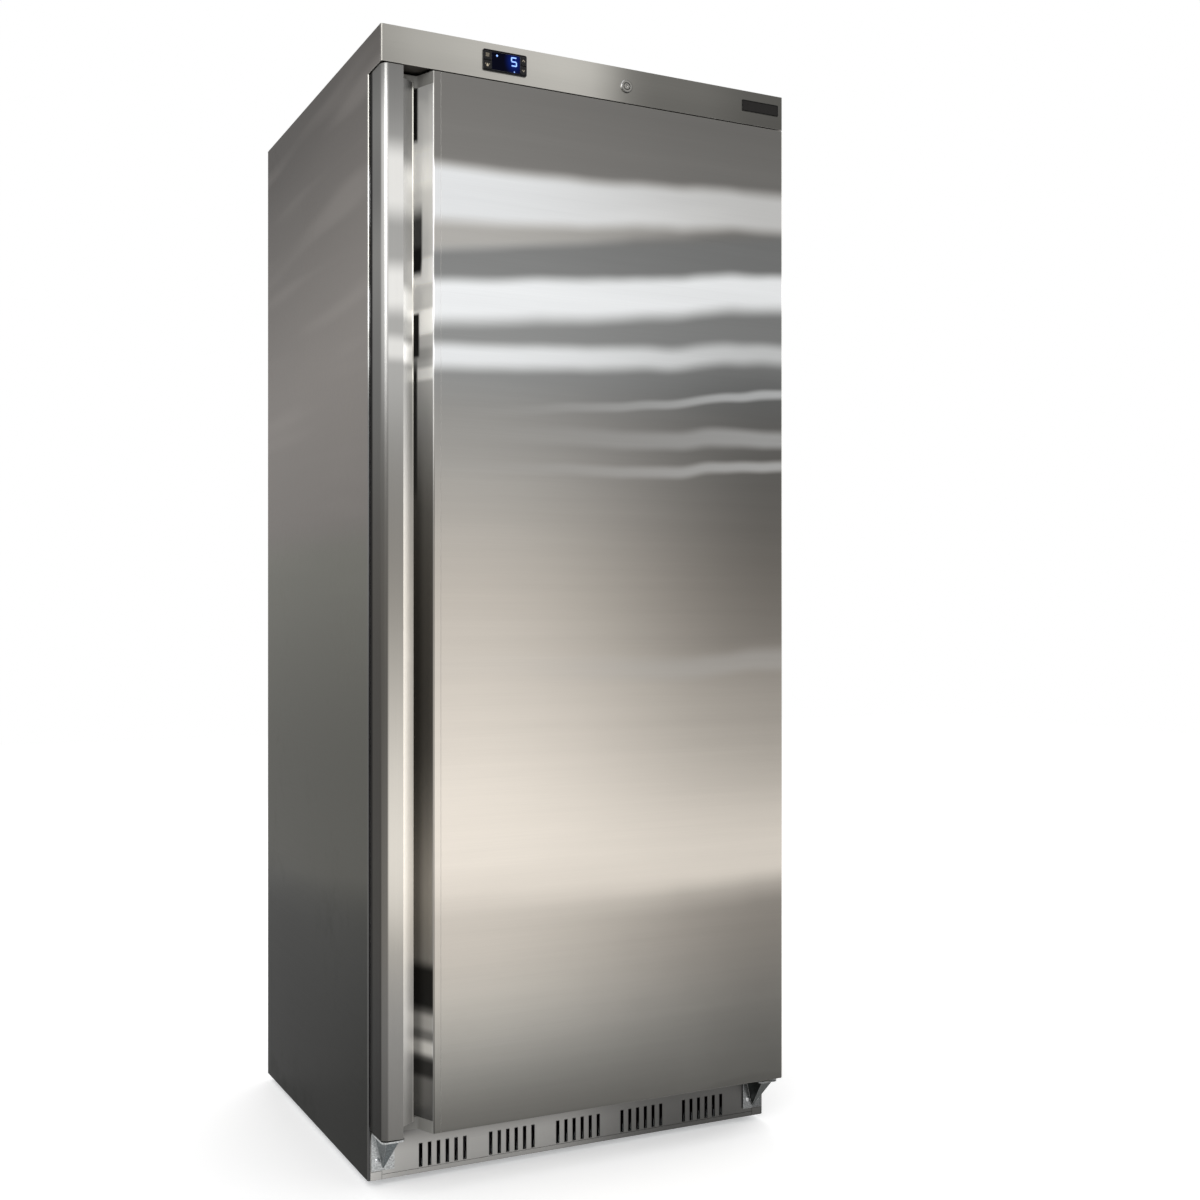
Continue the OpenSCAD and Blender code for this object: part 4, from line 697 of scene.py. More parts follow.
@dataclass(frozen=True)
class CaseSteel(SheetSteel):
    """The case's sheets, whose front folds get painted shade below the lamps, as in the door's shade.

    The painted shade ends between the heights lit. Its level changes between the heights dim_rise.
    """

    lit: Pair = (1.27, 1.45)
    shaded_fold: float = 0.08
    dim: Pair = (78, 106)
    dim_rise: Pair = (0.7, 1.15)

    def tones(self, r: Recipe) -> Socket:
        """The sheets' tones with painted shade on the front folds below the lamps.

        Args:
            r: The material's recipe.

        Returns:
            The colour.
        """
        ny, z = r.facing()[1], r.place()[2]
        dim = r.mix(r.rise(z, *self.dim_rise), *map(seen_colour, self.dim))
        shade = r.times(r.rise(ny, -0.1, -0.4), r.rise(z, self.lit[1], self.lit[0]))
        return r.mix(shade, super().tones(r), dim)

    def painted_fold_share(self, r: Recipe) -> Value:
        """How strong the folds' painted highlight is: full beside the lamps, faint below them."""
        return r.blend(r.rise(r.place()[2], *self.lit), self.shaded_fold, self.painted_fold)


@dataclass(frozen=True)
class HandleSteel(Steel):
    """The handle's bent sheet, whose facets each get their own painted reflection of the room, with painted
    highlights and painted shade.

    Places are in metres: where the bar ends and the lip starts, where the channel's sloping wall and
    the mouth's bend lie, the face that depths are taken from, the lip's hem, and the depth from which
    the gasket's shadow covers the door's end. Turns are the parts of a facet's direction to the right
    between which it starts to count as the lip, the corner, the door's end, the sloping wall or the
    mouth's bend, and the glint is where the slope turns from and back towards the front.
    """

    bar_start: float = -0.375
    slope_start: float = -0.324
    mouth: float = -0.301
    face: float = -0.3475
    hem: float = -0.3313
    rear: float = 0.0475
    channel: float = 0.016
    deep: float = 0.034
    # Painted light inside the channel, the painted shadow, and the painted highlights on the hem and at the
    # glint.
    inside_painted_light_level: float = 244.0
    shadow_level: float = 34.0
    hem_highlight_colour: Triple = (206, 206, 203)
    glint_colour: Triple = (208, 208, 204)
    lip_turn: Pair = (0.3, 0.5)
    corner_turn: Pair = (-0.04, -0.3)
    end_turn: Pair = (-0.86, -0.985)
    wall_turn: Pair = (-0.6, -0.85)
    bend_turn: Pair = (-0.04, -0.25)
    glint_turn: Pair = (-0.46, -0.54)
    glint_end: Pair = (-0.72, -0.64)
    shallow: Pair = (0.012, 0.008)
    hem_depth: Pair = (0.019, 0.018)

    def wall(self, r: Recipe, z: Socket, depth: Socket) -> Socket:
        """The sloping wall's painted reflection: banded along the height, with painted shade deep in the
        channel.

        Args:
            r: The material's recipe.
            z: The height of the shaded point.
            depth: How far it lies behind the door's face.

        Returns:
            The colour.
        """
        tone, _ = r.bands(z, r.ramp(z, WALL_TONES), WALL_STRIPS)
        low_part = r.rise(z, 1.30, 1.10, (1.0, 0.5))
        tone = r.scaled(tone, r.blend(r.rise(depth, self.channel, self.deep), 1.0, low_part))
        # Painted shade deep in the channel.
        for centre, half, fade, start, level in WALL_SHADES:
            feeds = {"Height": z, "Centre": centre, "Half": half, "Fade": fade}
            strip = r.group("Lamp strip", feeds).outputs[0]
            tone = r.paint(tone, r.times(strip, r.rise(depth, start, start + 0.005)), level)
        return tone

    def tones(self, r: Recipe) -> Socket:
        """Painted reflections, highlights and shade on bar, corner, side, lip, wall and channel, by place
        and direction.

        Args:
            r: The material's recipe.

        Returns:
            The colour.
        """
        x, y, z = r.place()
        nx = r.facing()[0]
        height = r.sway(r.drawn((6.0, 0.0, 5.0), detail=2.0), 0.03, z)
        depth = r.math("SUBTRACT", y, self.face)
        bar, _ = r.bands(height, r.ramp(height, BAR_TONES), BAR_STRIPS)
        lip, _ = r.bands(height, r.ramp(height, LIP_TONES), LIP_STRIPS)
        front = r.group("Front glow").outputs[0]
        past_mouth = r.rise(x, self.mouth, self.mouth + 0.003)
        outer = r.math("LESS_THAN", x, self.slope_start)
        inner = r.math("GREATER_THAN", x, self.slope_start)
        near_face = r.rise(depth, *self.shallow)
        colour = r.mix(r.times(r.rise(nx, *self.lip_turn), outer), r.mix(past_mouth, bar, front), lip)
        # A painted highlight on the bar's rounded corner.
        corner = r.times(r.rise(nx, *self.corner_turn), r.math("LESS_THAN", x, self.bar_start + 0.002))
        colour = r.mix(corner, colour, r.ramp(z, CORNER_TONES))
        # The door's end: its painted reflection, with the gasket's painted shadow at its rear.
        end = r.times(r.rise(nx, *self.end_turn), r.math("LESS_THAN", x, self.bar_start))
        colour = r.mix(end, colour, r.ramp(z, EDGE_TONES))
        shadow = r.times(end, r.rise(depth, self.rear, self.rear + 0.0008))
        colour = r.paint(colour, shadow, self.shadow_level)
        # Painted light, near white, on the channel's inside out of view, so that the wall's reflection of
        # it is bright.
        past_bar = r.math("GREATER_THAN", x, self.bar_start)
        painted_inside_light = r.times(r.math("GREATER_THAN", depth, self.channel), past_bar)
        colour = r.paint(colour, painted_inside_light, self.inside_painted_light_level)
        # A painted highlight along the lip's hem.
        hem = r.times(r.rise(x, self.hem, self.hem + 0.0006), outer, r.rise(depth, *self.hem_depth))
        colour = r.paint(colour, r.times(hem, r.rise(z, 1.05, 1.3, (0.2, 0.95))), *self.hem_highlight_colour)
        # The mouth's bend: the front's painted reflection, dimmed low down as painted shade.
        dim = r.scaled(front, r.rise(z, 1.28, 1.12, (1.0, 0.40)))
        colour = r.mix(r.times(r.rise(nx, *self.bend_turn), inner, near_face), colour, dim)
        wall = r.times(r.rise(nx, *self.wall_turn), inner)
        colour = r.mix(wall, colour, self.wall(r, z, depth))
        # A painted glint along the mouth's bend.
        turns = (r.rise(nx, *turn) for turn in (self.glint_turn, self.glint_end))
        glint = r.times(r.times(*turns, near_face, inner), r.rise(z, 1.05, 1.35, (0.15, 0.65)))
        colour = r.paint(colour, glint, *self.glint_colour)
        # A painted warm cast, left of the mouth.
        tint = r.mix(past_mouth, r.tint(z, *HANDLE_TINTS), (*NEUTRAL, 1.0))
        return r.mix(1.0, colour, tint, "MULTIPLY")

    def painted_glow_mask(self, r: Recipe) -> Value:
        """Where the painted glow lies: the channel's sloping wall, and the lower part of the lip that faces
        it.

        Args:
            r: The material's recipe.

        Returns:
            Their mask.
        """
        x, _, z = r.place()
        nx = r.facing()[0]
        wall = r.times(r.rise(nx, *self.wall_turn), r.math("GREATER_THAN", x, self.slope_start))
        outer = r.math("LESS_THAN", x, self.slope_start)
        lip = r.times(r.rise(nx, *self.lip_turn), outer, r.rise(z, 1.34, 1.10))
        return r.math("MAXIMUM", wall, r.times(lip, 0.85))


@dataclass(frozen=True)
class FasciaSteel(Steel):
    """The fascia: a painted reflection, bright at its left half and dark at its right, sides as the case's.
    """

    crest: Pair = (1.84, 1.88)
    warmth: Triple = (1.03, 1.0, 0.92)
    painted_top_colour: Triple = (120, 118, 114)

    def tones(self, r: Recipe) -> Socket:
        """Painted reflection along the width, with a painted top tone.

        Args:
            r: The material's recipe.

        Returns:
            The colour.
        """
        x, _, z = r.place()
        _, ny, nz = r.facing()
        # A painted reflection along the width, a little brighter towards the top edge.
        tones = r.scaled(r.ramp(x, FASCIA_TONES, WIDTH), r.rise(z, *self.crest, (0.94, 1.03)))
        tones = r.mix(1.0, tones, (*self.warmth, 1.0), "MULTIPLY")
        colour = r.mix(r.rise(ny, *AHEAD), r.group("Side glow").outputs[0], tones)
        # A painted tone on faces turned up.
        return r.paint(colour, r.rise(nz, 0.4, 0.9), *self.painted_top_colour)


@dataclass(frozen=True)
class KickSteel(Steel):
    """The kick panel: a painted reflection, bright at its left and dark at its right, with painted shade
    under the door.

    Lengths are in metres: the pitch of the slots' groups and of the slots, how far the painted shade
    round a slot reaches from its middle, the heights between which the slots lie, how soft the painted
    shade's ends are, the heights of the door's painted shade, where along the width it weakens, and
    the place of the painted shade at the left end.
    """

    group_pitch: float = 0.128
    groups: int = 5
    slot_pitch: float = 0.016
    slots: int = 6
    slot_reach: float = 0.0033
    slot_low: float = 0.0215
    slot_high: float = 0.0622
    soft: float = 0.001
    shade: Pair = (0.050, 0.096)
    weaker: Pair = (-0.1, 0.15)
    end_across: Pair = (-0.29, -0.35)
    end_up: Pair = (0.072, 0.090)
    end_shade_level: float = 20.0
    slot_shade_level: float = 6.0
    hidden_shade_level: float = 10.0
    warmth: Triple = (1.02, 1.0, 0.96)

    def slot_painted_shade(self, r: Recipe, x: Socket, z: Socket) -> Socket:
        """Where the painted shade round the slots lies: round each slot's middle, in each group of slots.

        Args:
            r: The material's recipe.
            x: How far right the shaded point lies.
            z: How high it lies.

        Returns:
            The painted shade's mask.
        """
        group = r.math("ROUND", r.math("DIVIDE", x, self.group_pitch))
        inside = r.math("SUBTRACT", x, r.times(group, self.group_pitch))
        off = r.math("SUBTRACT", r.math("FRACT", r.math("DIVIDE", inside, self.slot_pitch)), 0.5)
        reach = self.slot_reach / self.slot_pitch
        rim = r.rise(r.math("ABSOLUTE", off), 1.05 * reach, 0.95 * reach)
        ends = ((inside, self.slots / 2 * self.slot_pitch), (x, self.groups / 2 * self.group_pitch))
        within = r.times(*(r.math("LESS_THAN", r.math("ABSOLUTE", way), end) for way, end in ends))
        low = r.rise(z, self.slot_low, self.slot_low + self.soft)
        return r.times(rim, within, r.times(low, r.rise(z, self.slot_high, self.slot_high - self.soft)))

    def tones(self, r: Recipe) -> Socket:
        """Painted reflection along the width, with painted shade towards the door above, at the left end,
        round the slots and on faces turned away.

        Args:
            r: The material's recipe.

        Returns:
            The colour.
        """
        x, _, z = r.place()
        _, ny, nz = r.facing()
        # Painted shade of the door above, weaker towards the right.
        shade = r.rise(z, *self.shade, (1.0, r.rise(x, *self.weaker, (0.40, 0.82))))
        tones = r.scaled(r.ramp(x, KICK_TONES, WIDTH), shade)
        # Painted shade at the upper left end.
        end = r.times(r.rise(x, *self.end_across), r.rise(z, *self.end_up), 0.75)
        tones = r.paint(tones, end, self.end_shade_level)
        # Painted shade round the slots.
        tones = r.paint(tones, self.slot_painted_shade(r, x, z), self.slot_shade_level)
        # Painted shade on faces turned away from the front and the top.
        shown = r.math("MAXIMUM", r.rise(ny, -0.3, -0.8), r.rise(nz, *TOP))
        tones = r.mix(shown, seen_colour(self.hidden_shade_level), tones)
        return r.mix(1.0, tones, (*self.warmth, 1.0), "MULTIPLY")


@dataclass(frozen=True)
class Finish:
    """A plain finish: its colour, how it shines, its relief, its patches and its worn edges, which also
    carry a painted edge highlight.
    """

    name: str
    colour: Triple
    rough: float
    metallic: float = 0.0
    coat: float = 0.0
    shine: float = 0.5
    relief: Relief = Relief.UNEVEN
    size: float = 900.0
    depth: float = 0.08
    patch: float = 0.12
    wear_and_edge_highlight: Triple | None = None
    glow: float = 0.0
    darker: float = 0.72
    mark_size: float = 7.0
    mark_cover: float = 0.6
    edge: float = 0.0008
    bump_height: float = 0.0006
    coat_rough: float = 0.08

    def tones(self, r: Recipe, marks: Socket) -> tuple[Socket, Socket]:
        """The colour and the height of the relief.

        Args:
            r: The material's recipe.
            marks: Where handling marks lie.

        Returns:
            The colour and the relief's height.
        """
        base = seen_colour(*self.colour)
        dark = (*(self.darker * part for part in base[:3]), 1.0)
        colour = r.mix(r.times(marks, self.patch), base, dark)
        if self.relief is Relief.UNEVEN:
            return colour, r.noise(r.spot(), self.size, 2.0, 0.55)
        feeds = {"Vector": r.spot(), "Scale": self.size}
        flakes = r.add("TexVoronoi", feeds, feature="F1").outputs
        if self.relief is Relief.CELLS:
            shade = r.math("MULTIPLY", flakes["Distance"], 0.5, clamp=True)
            return r.mix(shade, colour, dark), flakes["Distance"]
        tone = r.add("SeparateColor", {0: flakes["Color"]}).outputs[0]
        return r.scaled(colour, r.sway(tone, 0.22)), flakes["Distance"]

    def build(self) -> bpy.types.Material:
        """Makes the material.

        Returns:
            The material.
        """
        material, r, shader = new_material(self.name)
        marks = r.group("Handling marks", {"Size": self.mark_size, "Cover": self.mark_cover}).outputs[0]
        colour, height = self.tones(r, marks)
        edges = r.group("Edge rounding", {"Radius": self.edge}).outputs
        # Worn edges, lighter, together with a painted edge highlight.
        if self.wear_and_edge_highlight is not None:
            worn_and_highlit = r.times(edges["Mask"], r.math("MULTIPLY_ADD", marks, 0.5, 0.35))
            colour = r.paint(colour, worn_and_highlit, *self.wear_and_edge_highlight)
        bump = {"Height": height, "Normal": edges["Normal"]}
        bump |= {"Strength": self.depth, "Distance": self.bump_height}
        r.fill(shader, {
            "Base Color": colour,
            "Roughness": r.sway(r.noise(r.spot(), 38.0, 4.0, 0.6), 0.16, self.rough, clamp=True),
            "Metallic": self.metallic,
            "Specular IOR Level": self.shine,
            "Normal": r.add("Bump", bump).outputs[0],
        })
        if self.coat:
            r.fill(shader, {"Coat Weight": self.coat, "Coat Roughness": self.coat_rough})
        if self.glow:
            r.fill(shader, {"Emission Color": self.lit(r, colour), "Emission Strength": self.glow})
        return material

    def lit(self, r: Recipe, colour: Socket) -> Socket:
        """The colour that a lit piece glows in: its own."""
        return colour


@dataclass(frozen=True)
class WindowFinish(Finish):
    """The display's dark window, with the deep blue that spreads round the lit figure."""

    centre: Pair = (-0.1541, 1.8699)
    spread: float = 0.027
    squeeze: float = 1.35
    halo: Triple = (5, 30, 112)

    def lit(self, r: Recipe, colour: Socket) -> Socket:
        """A blue that falls off with the distance from the lit figure's middle.

        Args:
            r: The material's recipe.
            colour: The window's own colour; not used.

        Returns:
            The blue.
        """
        x, _, z = r.place()
        dx = r.times(r.math("SUBTRACT", x, self.centre[0]), self.squeeze)
        away = r.away(dx, r.math("SUBTRACT", z, self.centre[1]))
        return r.mix(r.rise(away, self.spread, 0.0), (0.0, 0.0, 0.004, 1.0), seen_colour(*self.halo))


@dataclass(frozen=True)
class BracketZinc(Finish):
    """Zinc plate: bright and flaked at the left, with painted shade that makes it duller at the right,
    and painted shade on the pressed V.

    A fall of painted shade has the places along the width where it starts and ends, and the share
    that is left there. The pressed V's painted shade goes from its first colour to its second along
    the width.
    """

    fold_face: float = -0.2848
    width: Pair = (-0.3, 0.3)
    shade_falls: tuple[Triple, ...] = ((-0.3, 0.3, 0.42), (0.358, 0.366, 0.62))
    speckle: float = 330.0
    pressed: tuple[Triple, Triple] = ((96, 102, 104), (38, 43, 40))

    def tones(self, r: Recipe, marks: Socket) -> tuple[Socket, Socket]:
        """The zinc's tone, with painted shade along the width and where the press leans down.

        Args:
            r: The material's recipe.
            marks: Where handling marks lie.

        Returns:
            The colour and the relief's height.
        """
        colour, height = super().tones(r, marks)
        x, y, _ = r.place()
        nz = r.facing()[2]
        # Painted shade that makes the plate duller towards the right.
        for start, end, least in self.shade_falls:
            colour = r.scaled(colour, r.rise(x, start, end, (1.0, least)))
        speckle = r.noise(r.spot(), self.speckle, 3.0, 0.65)
        colour = r.scaled(colour, r.rise(speckle, 0.35, 0.65, (0.62, 1.12)))
        # Painted shade on the pressed V, where it leans down.
        pressed = r.times(r.rise(nz, -0.05, -0.3), r.math("LESS_THAN", y, self.fold_face))
        dark = r.mix(r.rise(x, *self.width), *(seen_colour(*side) for side in self.pressed))
        return r.mix(pressed, colour, r.scaled(dark, r.rise(speckle, 0.35, 0.65, (0.6, 1.25)))), height


@dataclass(frozen=True)
class LockChrome(Finish):
    """Chrome with a painted highlight on its upper left rim edges, painted shade on the lower right ones,
    painted shade in the keyway, and dark seams round the plug.

    A seam has its radius and half its width, in metres, and its level. A rim's painted tone has how far
    it leans where the tone starts and where it is full, and its level.
    """

    centre: Pair = (0.0615, 1.8637)
    plug: float = 0.006
    seams: tuple[Triple, ...] = ((0.006, 0.0013, 26), (0.0102, 0.0008, 70))
    keyway: float = -0.3465
    keyway_shade_level: float = 12.0
    rim_light_and_shade: tuple[Triple, ...] = ((0.15, 0.8, 34), (-0.15, -0.8, 236))

    def tones(self, r: Recipe, marks: Socket) -> tuple[Socket, Socket]:
        """The chrome's painted highlight and shade by the way that a rim leans, painted shade in the
        keyway, and dark seams by the rings' radii.

        Args:
            r: The material's recipe.
            marks: Where handling marks lie.

        Returns:
            The colour and the relief's height.
        """
        colour, height = super().tones(r, marks)
        x, y, z = r.place()
        nx, _, nz = r.facing()
        away = r.away(*(r.math("SUBTRACT", way, middle) for way, middle in zip((x, z), self.centre)))
        for radius, half, level in self.seams:
            off = r.math("ABSOLUTE", r.math("SUBTRACT", away, radius))
            colour = r.paint(colour, r.rise(off, half, 0.5 * half), level)
        # Painted shade in the keyway.
        deep = r.times(r.math("GREATER_THAN", y, self.keyway), r.math("LESS_THAN", away, self.plug - 0.001))
        colour = r.paint(colour, deep, self.keyway_shade_level)
        # A painted highlight where a rim leans up and left, painted shade where it leans down and right.
        lean = r.math("SUBTRACT", nx, nz)
        for start, end, level in self.rim_light_and_shade:
            colour = r.paint(colour, r.rise(lean, start, end), level)
        return colour, height


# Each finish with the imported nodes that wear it.
FINISHES = (
    (SheetSteel("door_steel", rim=0.5), "door_skin"),
    (HandleSteel("handle_steel", Grain.UPRIGHT, painted_fold=0.3, rim=0.5, painted_glow=0.5), "handle_profile"),
    (CaseSteel("case_steel", painted_fold=0.6, rim=0.5), "side_panel_left side_panel_right top_panel"),
    (FasciaSteel("fascia_steel", painted_fold=0.5, rim=0.5), "fascia_panel"),
    (KickSteel("kick_steel", painted_fold=0.9, painted_fold_level=12.0, rim=0.5), "kick_panel kick_rail"),
    (Steel("inner_steel", Grain.UPRIGHT, rough=0.34), "front_frame shelf_uprights shelf_clips"),
    (BracketZinc("zinc_plate", (182, 184, 184), 0.3, 1.0, size=240.0, depth=0.2, patch=0.3,
                 wear_and_edge_highlight=(214, 215, 214)), "hinge_bracket_left hinge_bracket_right top_hinge_plate"),
    (Finish("galvanised_sheet", (150, 153, 155), 0.42, 1.0, relief=Relief.SPANGLE, size=70.0, depth=0.05,
            patch=0.4), "rear_panel underfloor_sheet base_tray roller_forks"),
    (LockChrome("chrome", (142, 140, 135), 0.18, 1.0, size=300.0, depth=0.03, patch=0.15,
                wear_and_edge_highlight=(214, 214, 212)), "lock_housing lock_cylinder"),
    (Finish("screw_zinc", (196, 197, 198), 0.26, 1.0, size=300.0, depth=0.03, patch=0.3), "bracket_screws"),
    (Finish("gloss_black", (9, 9, 10), 0.22, shine=0.08, size=400.0, depth=0.02, patch=0.1,
            wear_and_edge_highlight=(120, 120, 124)), "controller_housing"),
    (Finish("cap_grey", (122, 121, 117), 0.5, depth=0.12, patch=0.3, wear_and_edge_highlight=(140, 139, 135)),
     "door_top_cap door_bottom_cap"),
    (Finish("liner_white", (226, 228, 228), 0.3, coat=0.15, size=220.0, depth=0.06, patch=0.1),
     "inner_liner door_liner"),
    (Finish("gasket_black", (26, 26, 27), 0.62, size=1200.0, depth=0.2, patch=0.35, wear_and_edge_highlight=(62, 62, 64)),
     "door_gasket"),
    (Finish("key_black", (20, 19, 20), 0.4, shine=0.2, size=1600.0, patch=0.1),
     "key_set key_defrost key_up key_down"),
    (Finish("symbol_print", (182, 170, 150), 0.5, depth=0.02), ""),
    (WindowFinish("display_dark", (2, 3, 10), 0.12, shine=0.03, depth=0.01, glow=1.0), "display_window"),
    (Finish("digit_blue", (136, 172, 240), 0.3, shine=0.1, depth=0.01, patch=0.0, glow=1.0),
     "display_digits"),
    (Finish("plate_bronze", (43, 42, 41), 0.34, 1.0, size=200.0, depth=0.05, patch=0.2,
            wear_and_edge_highlight=(96, 95, 91)), "bare_plate"),
    (Finish("plate_edge", (20, 20, 20), 0.4, 1.0, depth=0.03, patch=0.2), ""),
    (Finish("foam_fill", (226, 210, 160), 0.9, relief=Relief.CELLS, size=500.0, depth=0.4, patch=0.4),
     "foam_left foam_right foam_top foam_back foam_floor door_foam"),
    (Finish("wire_grey", (205, 207, 208), 0.34, coat=0.3, size=300.0, patch=0.15), "wire_shelves"),
    (Finish("nylon_ivory", (214, 211, 196), 0.45, depth=0.1), "hinge_bushes"),
    (Finish("cover_white", (214, 217, 217), 0.42, size=260.0, depth=0.1, patch=0.15),
     "evaporator_cover evaporation_tray"),
    (Finish("black_enamel", (24, 24, 26), 0.34, coat=0.4, size=160.0, depth=0.15, patch=0.3,
            wear_and_edge_highlight=(90, 90, 94)), "compressor rear_grille"),
    (Finish("fin_metal", (190, 192, 194), 0.38, 1.0, size=500.0, depth=0.1, patch=0.4),
     "evaporator_coil condenser_coil"),
    (Finish("copper_tube", (190, 118, 84), 0.34, 1.0, size=120.0, depth=0.1, patch=0.6),
     "refrigerant_pipes"),
    (Finish("fan_dark", (58, 60, 62), 0.48, depth=0.1, patch=0.2, wear_and_edge_highlight=(96, 98, 100)),
     "evaporator_fan_motor condenser_fan_motor evaporator_fan condenser_fan power_inlet"
     " temperature_probe rear_roller_left rear_roller_right levelling_foot_left levelling_foot_right"),
)


class Workshop:
    """Holds the finishes and gives them to nodes and new pieces."""

    def __init__(self, finishes: Iterable[tuple[Union[Steel, Finish], str]]) -> None:
        """Builds the shared groups and each finish once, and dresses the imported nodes.

        Args:
            finishes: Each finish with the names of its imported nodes.
        """
        Effects().build()
        self.materials = {}
        for finish, nodes in finishes:
            self.materials[finish.name] = finish.build()
            for name in nodes.split():
                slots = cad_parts[name].data.materials
                slots.clear()
                slots.append(self.materials[finish.name])
                LOG.info("%s: %s", name, finish.name)


# ---------------------------------------------------------------------------- fine pieces


def grid_faces(rows: int, columns: int, close_rows: bool) -> np.ndarray:
    """The four-cornered faces between the points of a grid whose columns close.

    Args:
        rows: How many points the grid has along its first parameter.
        columns: How many along its second, whose last joins its first.
        close_rows: Joins the last row to the first.

    Returns:
        One row of four point numbers for each face: point (i, j) has the number i * columns + j, and
        a face runs (i, j), (i + 1, j), (i + 1, j + 1), (i, j + 1), counted round where it closes.
    """
    i = np.arange(rows if close_rows else rows - 1)[:, None]
    j = np.arange(columns)[None, :]
    below, beside = (i + 1) % rows, (j + 1) % columns
    corners = (i * columns + j, below * columns + j, below * columns + beside, i * columns + beside)
    return np.stack([c + np.zeros_like(i + j) for c in corners], axis=-1).reshape(-1, 4)


def new_piece(
    name: str, points: np.ndarray, faces: Sequence[Sequence[int]], finish: bpy.types.Material, body: str,
    smooth: bool = True,
) -> bpy.types.Object:
    """Makes a closed piece that rides on a body.

    Args:
        name: The piece's name.
        points: Its points in millimetres, one row each.
        faces: Its faces as rows of point numbers.
        finish: Its material.
        body: The body that carries it.
        smooth: Shades the faces as one smooth surface.

    Returns:
        The piece, with its faces turned outwards.
    """
    mesh = bpy.data.meshes.new(name)
    mesh.from_pydata((points * MM).tolist(), [], [list(face) for face in faces])
    shape = bmesh.new()
    shape.from_mesh(mesh)
    bmesh.ops.recalc_face_normals(shape, faces=shape.faces)
    shape.to_mesh(mesh)
    shape.free()
    mesh.polygons.foreach_set("use_smooth", np.full(len(mesh.polygons), smooth))
    mesh.materials.append(finish)
    piece = bpy.data.objects.new(name, mesh)
    bpy.context.scene.collection.objects.link(piece)
    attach(piece, body)
    LOG.info("%s: %d faces on %s", name, len(faces), body)
    return piece


class Box:
    """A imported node's box, in millimetres."""

    def __init__(self, name: str) -> None:
        """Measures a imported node."""
        self.low, self.high = (np.array(corner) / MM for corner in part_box(name))

    def half(self, inset: float) -> tuple[float, ...]:
        """Its half width and half height, less an inset."""
        return tuple((self.high[i] - self.low[i]) / 2 - inset for i in (0, 2))

    def centre(self) -> tuple[float, ...]:
        """Its middle, across and up."""
        return tuple((self.high[i] + self.low[i]) / 2 for i in (0, 2))


def framed(box: Box, inset: float, profile: np.ndarray, parts: int) -> tuple[np.ndarray, np.ndarray]:
    """Carries a closed profile round an upright rectangle with mitred corners.

    Args:
        box: The box that the rectangle lies in.
        inset: How far the rectangle lies inside the box.
        profile: Rows of (a, y): how far outside the rectangle, and how deep.
        parts: How many pieces each side has.

    Returns:
        Points and faces. A profile point (a, y) runs round the rectangle grown by a on every side:
        on side k at part t it lies at corner k + t * (corner k+1 - corner k), where the corners are
        the signs (-1, -1), (1, -1), (1, 1), (-1, 1) times (half width + a, half height + a).
    """
    half, centre = box.half(inset), box.centre()
    signs = np.array([(-1, -1), (1, -1), (1, 1), (-1, 1)], dtype=float)
    t = (np.arange(parts) / parts)[None, :, None]
    ring = (signs[:, None, :] * (1 - t) + np.roll(signs, -1, axis=0)[:, None, :] * t).reshape(-1, 2)
    x, z = (centre[i] + ring[:, None, i] * (half[i] + profile[None, :, 0]) for i in (0, 1))
    y = np.broadcast_to(profile[None, :, 1], x.shape)
    points = np.stack([x, y, z], axis=-1).reshape(-1, 3)
    return points, grid_faces(len(ring), len(profile), True)


@dataclass
class DoorGasket:
    """The door's bellows seal: a flat foot, a pinched neck and a soft head with two lips."""

    workshop: Workshop
    node: str = "door_gasket"
    body: str = "door"
    foot: float = 11.0
    foot_end: float = 0.26
    foot_edge: float = 0.001
    neck: float = 7.0
    bulge: float = 1.5
    head: float = 8.8
    rounding: float = 0.9
    groove: Triple = (2.4, 1.6, 0.7)
    steps: int = 20
    parts: int = 16

    def half_width(self, b: np.ndarray) -> np.ndarray:
        """How wide the seal is at each part of its depth.

        Args:
            b: The part of the depth, 0 at the door and 1 at the case.

        Returns:
            The foot's half width up to foot_end, and past it the neck's plus a bulge of
            sin^2(pi s), where s runs from 0 to 1, growing to the head's by s cubed, with a rounded
            end that falls by rounding times (s to the power 16).
        """
        s = np.clip((b - self.foot_end) / (1 - self.foot_end), 0, 1)
        upper = self.neck + self.bulge * np.sin(np.pi * s) ** 2 + (self.head - self.neck) * s**3
        return np.where(b <= self.foot_end, self.foot, upper - self.rounding * s**16)

    def build(self) -> None:
        """Sweeps the seal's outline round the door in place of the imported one."""
        box = Box(self.node)
        front, back = box.low[1], box.high[1]
        b = np.concatenate([[0.0, self.foot_end * 0.7], np.linspace(self.foot_end, 1.0, self.steps)])
        b[2] += self.foot_edge
        wide, depth = self.half_width(b), front + b * (back - front)
        right = np.stack([wide, depth], axis=-1)
        left = np.stack([-wide, depth], axis=-1)[::-1]
        outer, inner, deep = self.groove
        groove = np.array([(outer, back), (inner, back - deep), (-inner, back - deep), (-outer, back)])
        points, faces = framed(box, self.foot, np.concatenate([right, groove, left]), self.parts)
        rubber = self.workshop.materials["gasket_black"]
        piece = new_piece("gasket_bellows", points, faces, rubber, self.body)
        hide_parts(self.node)


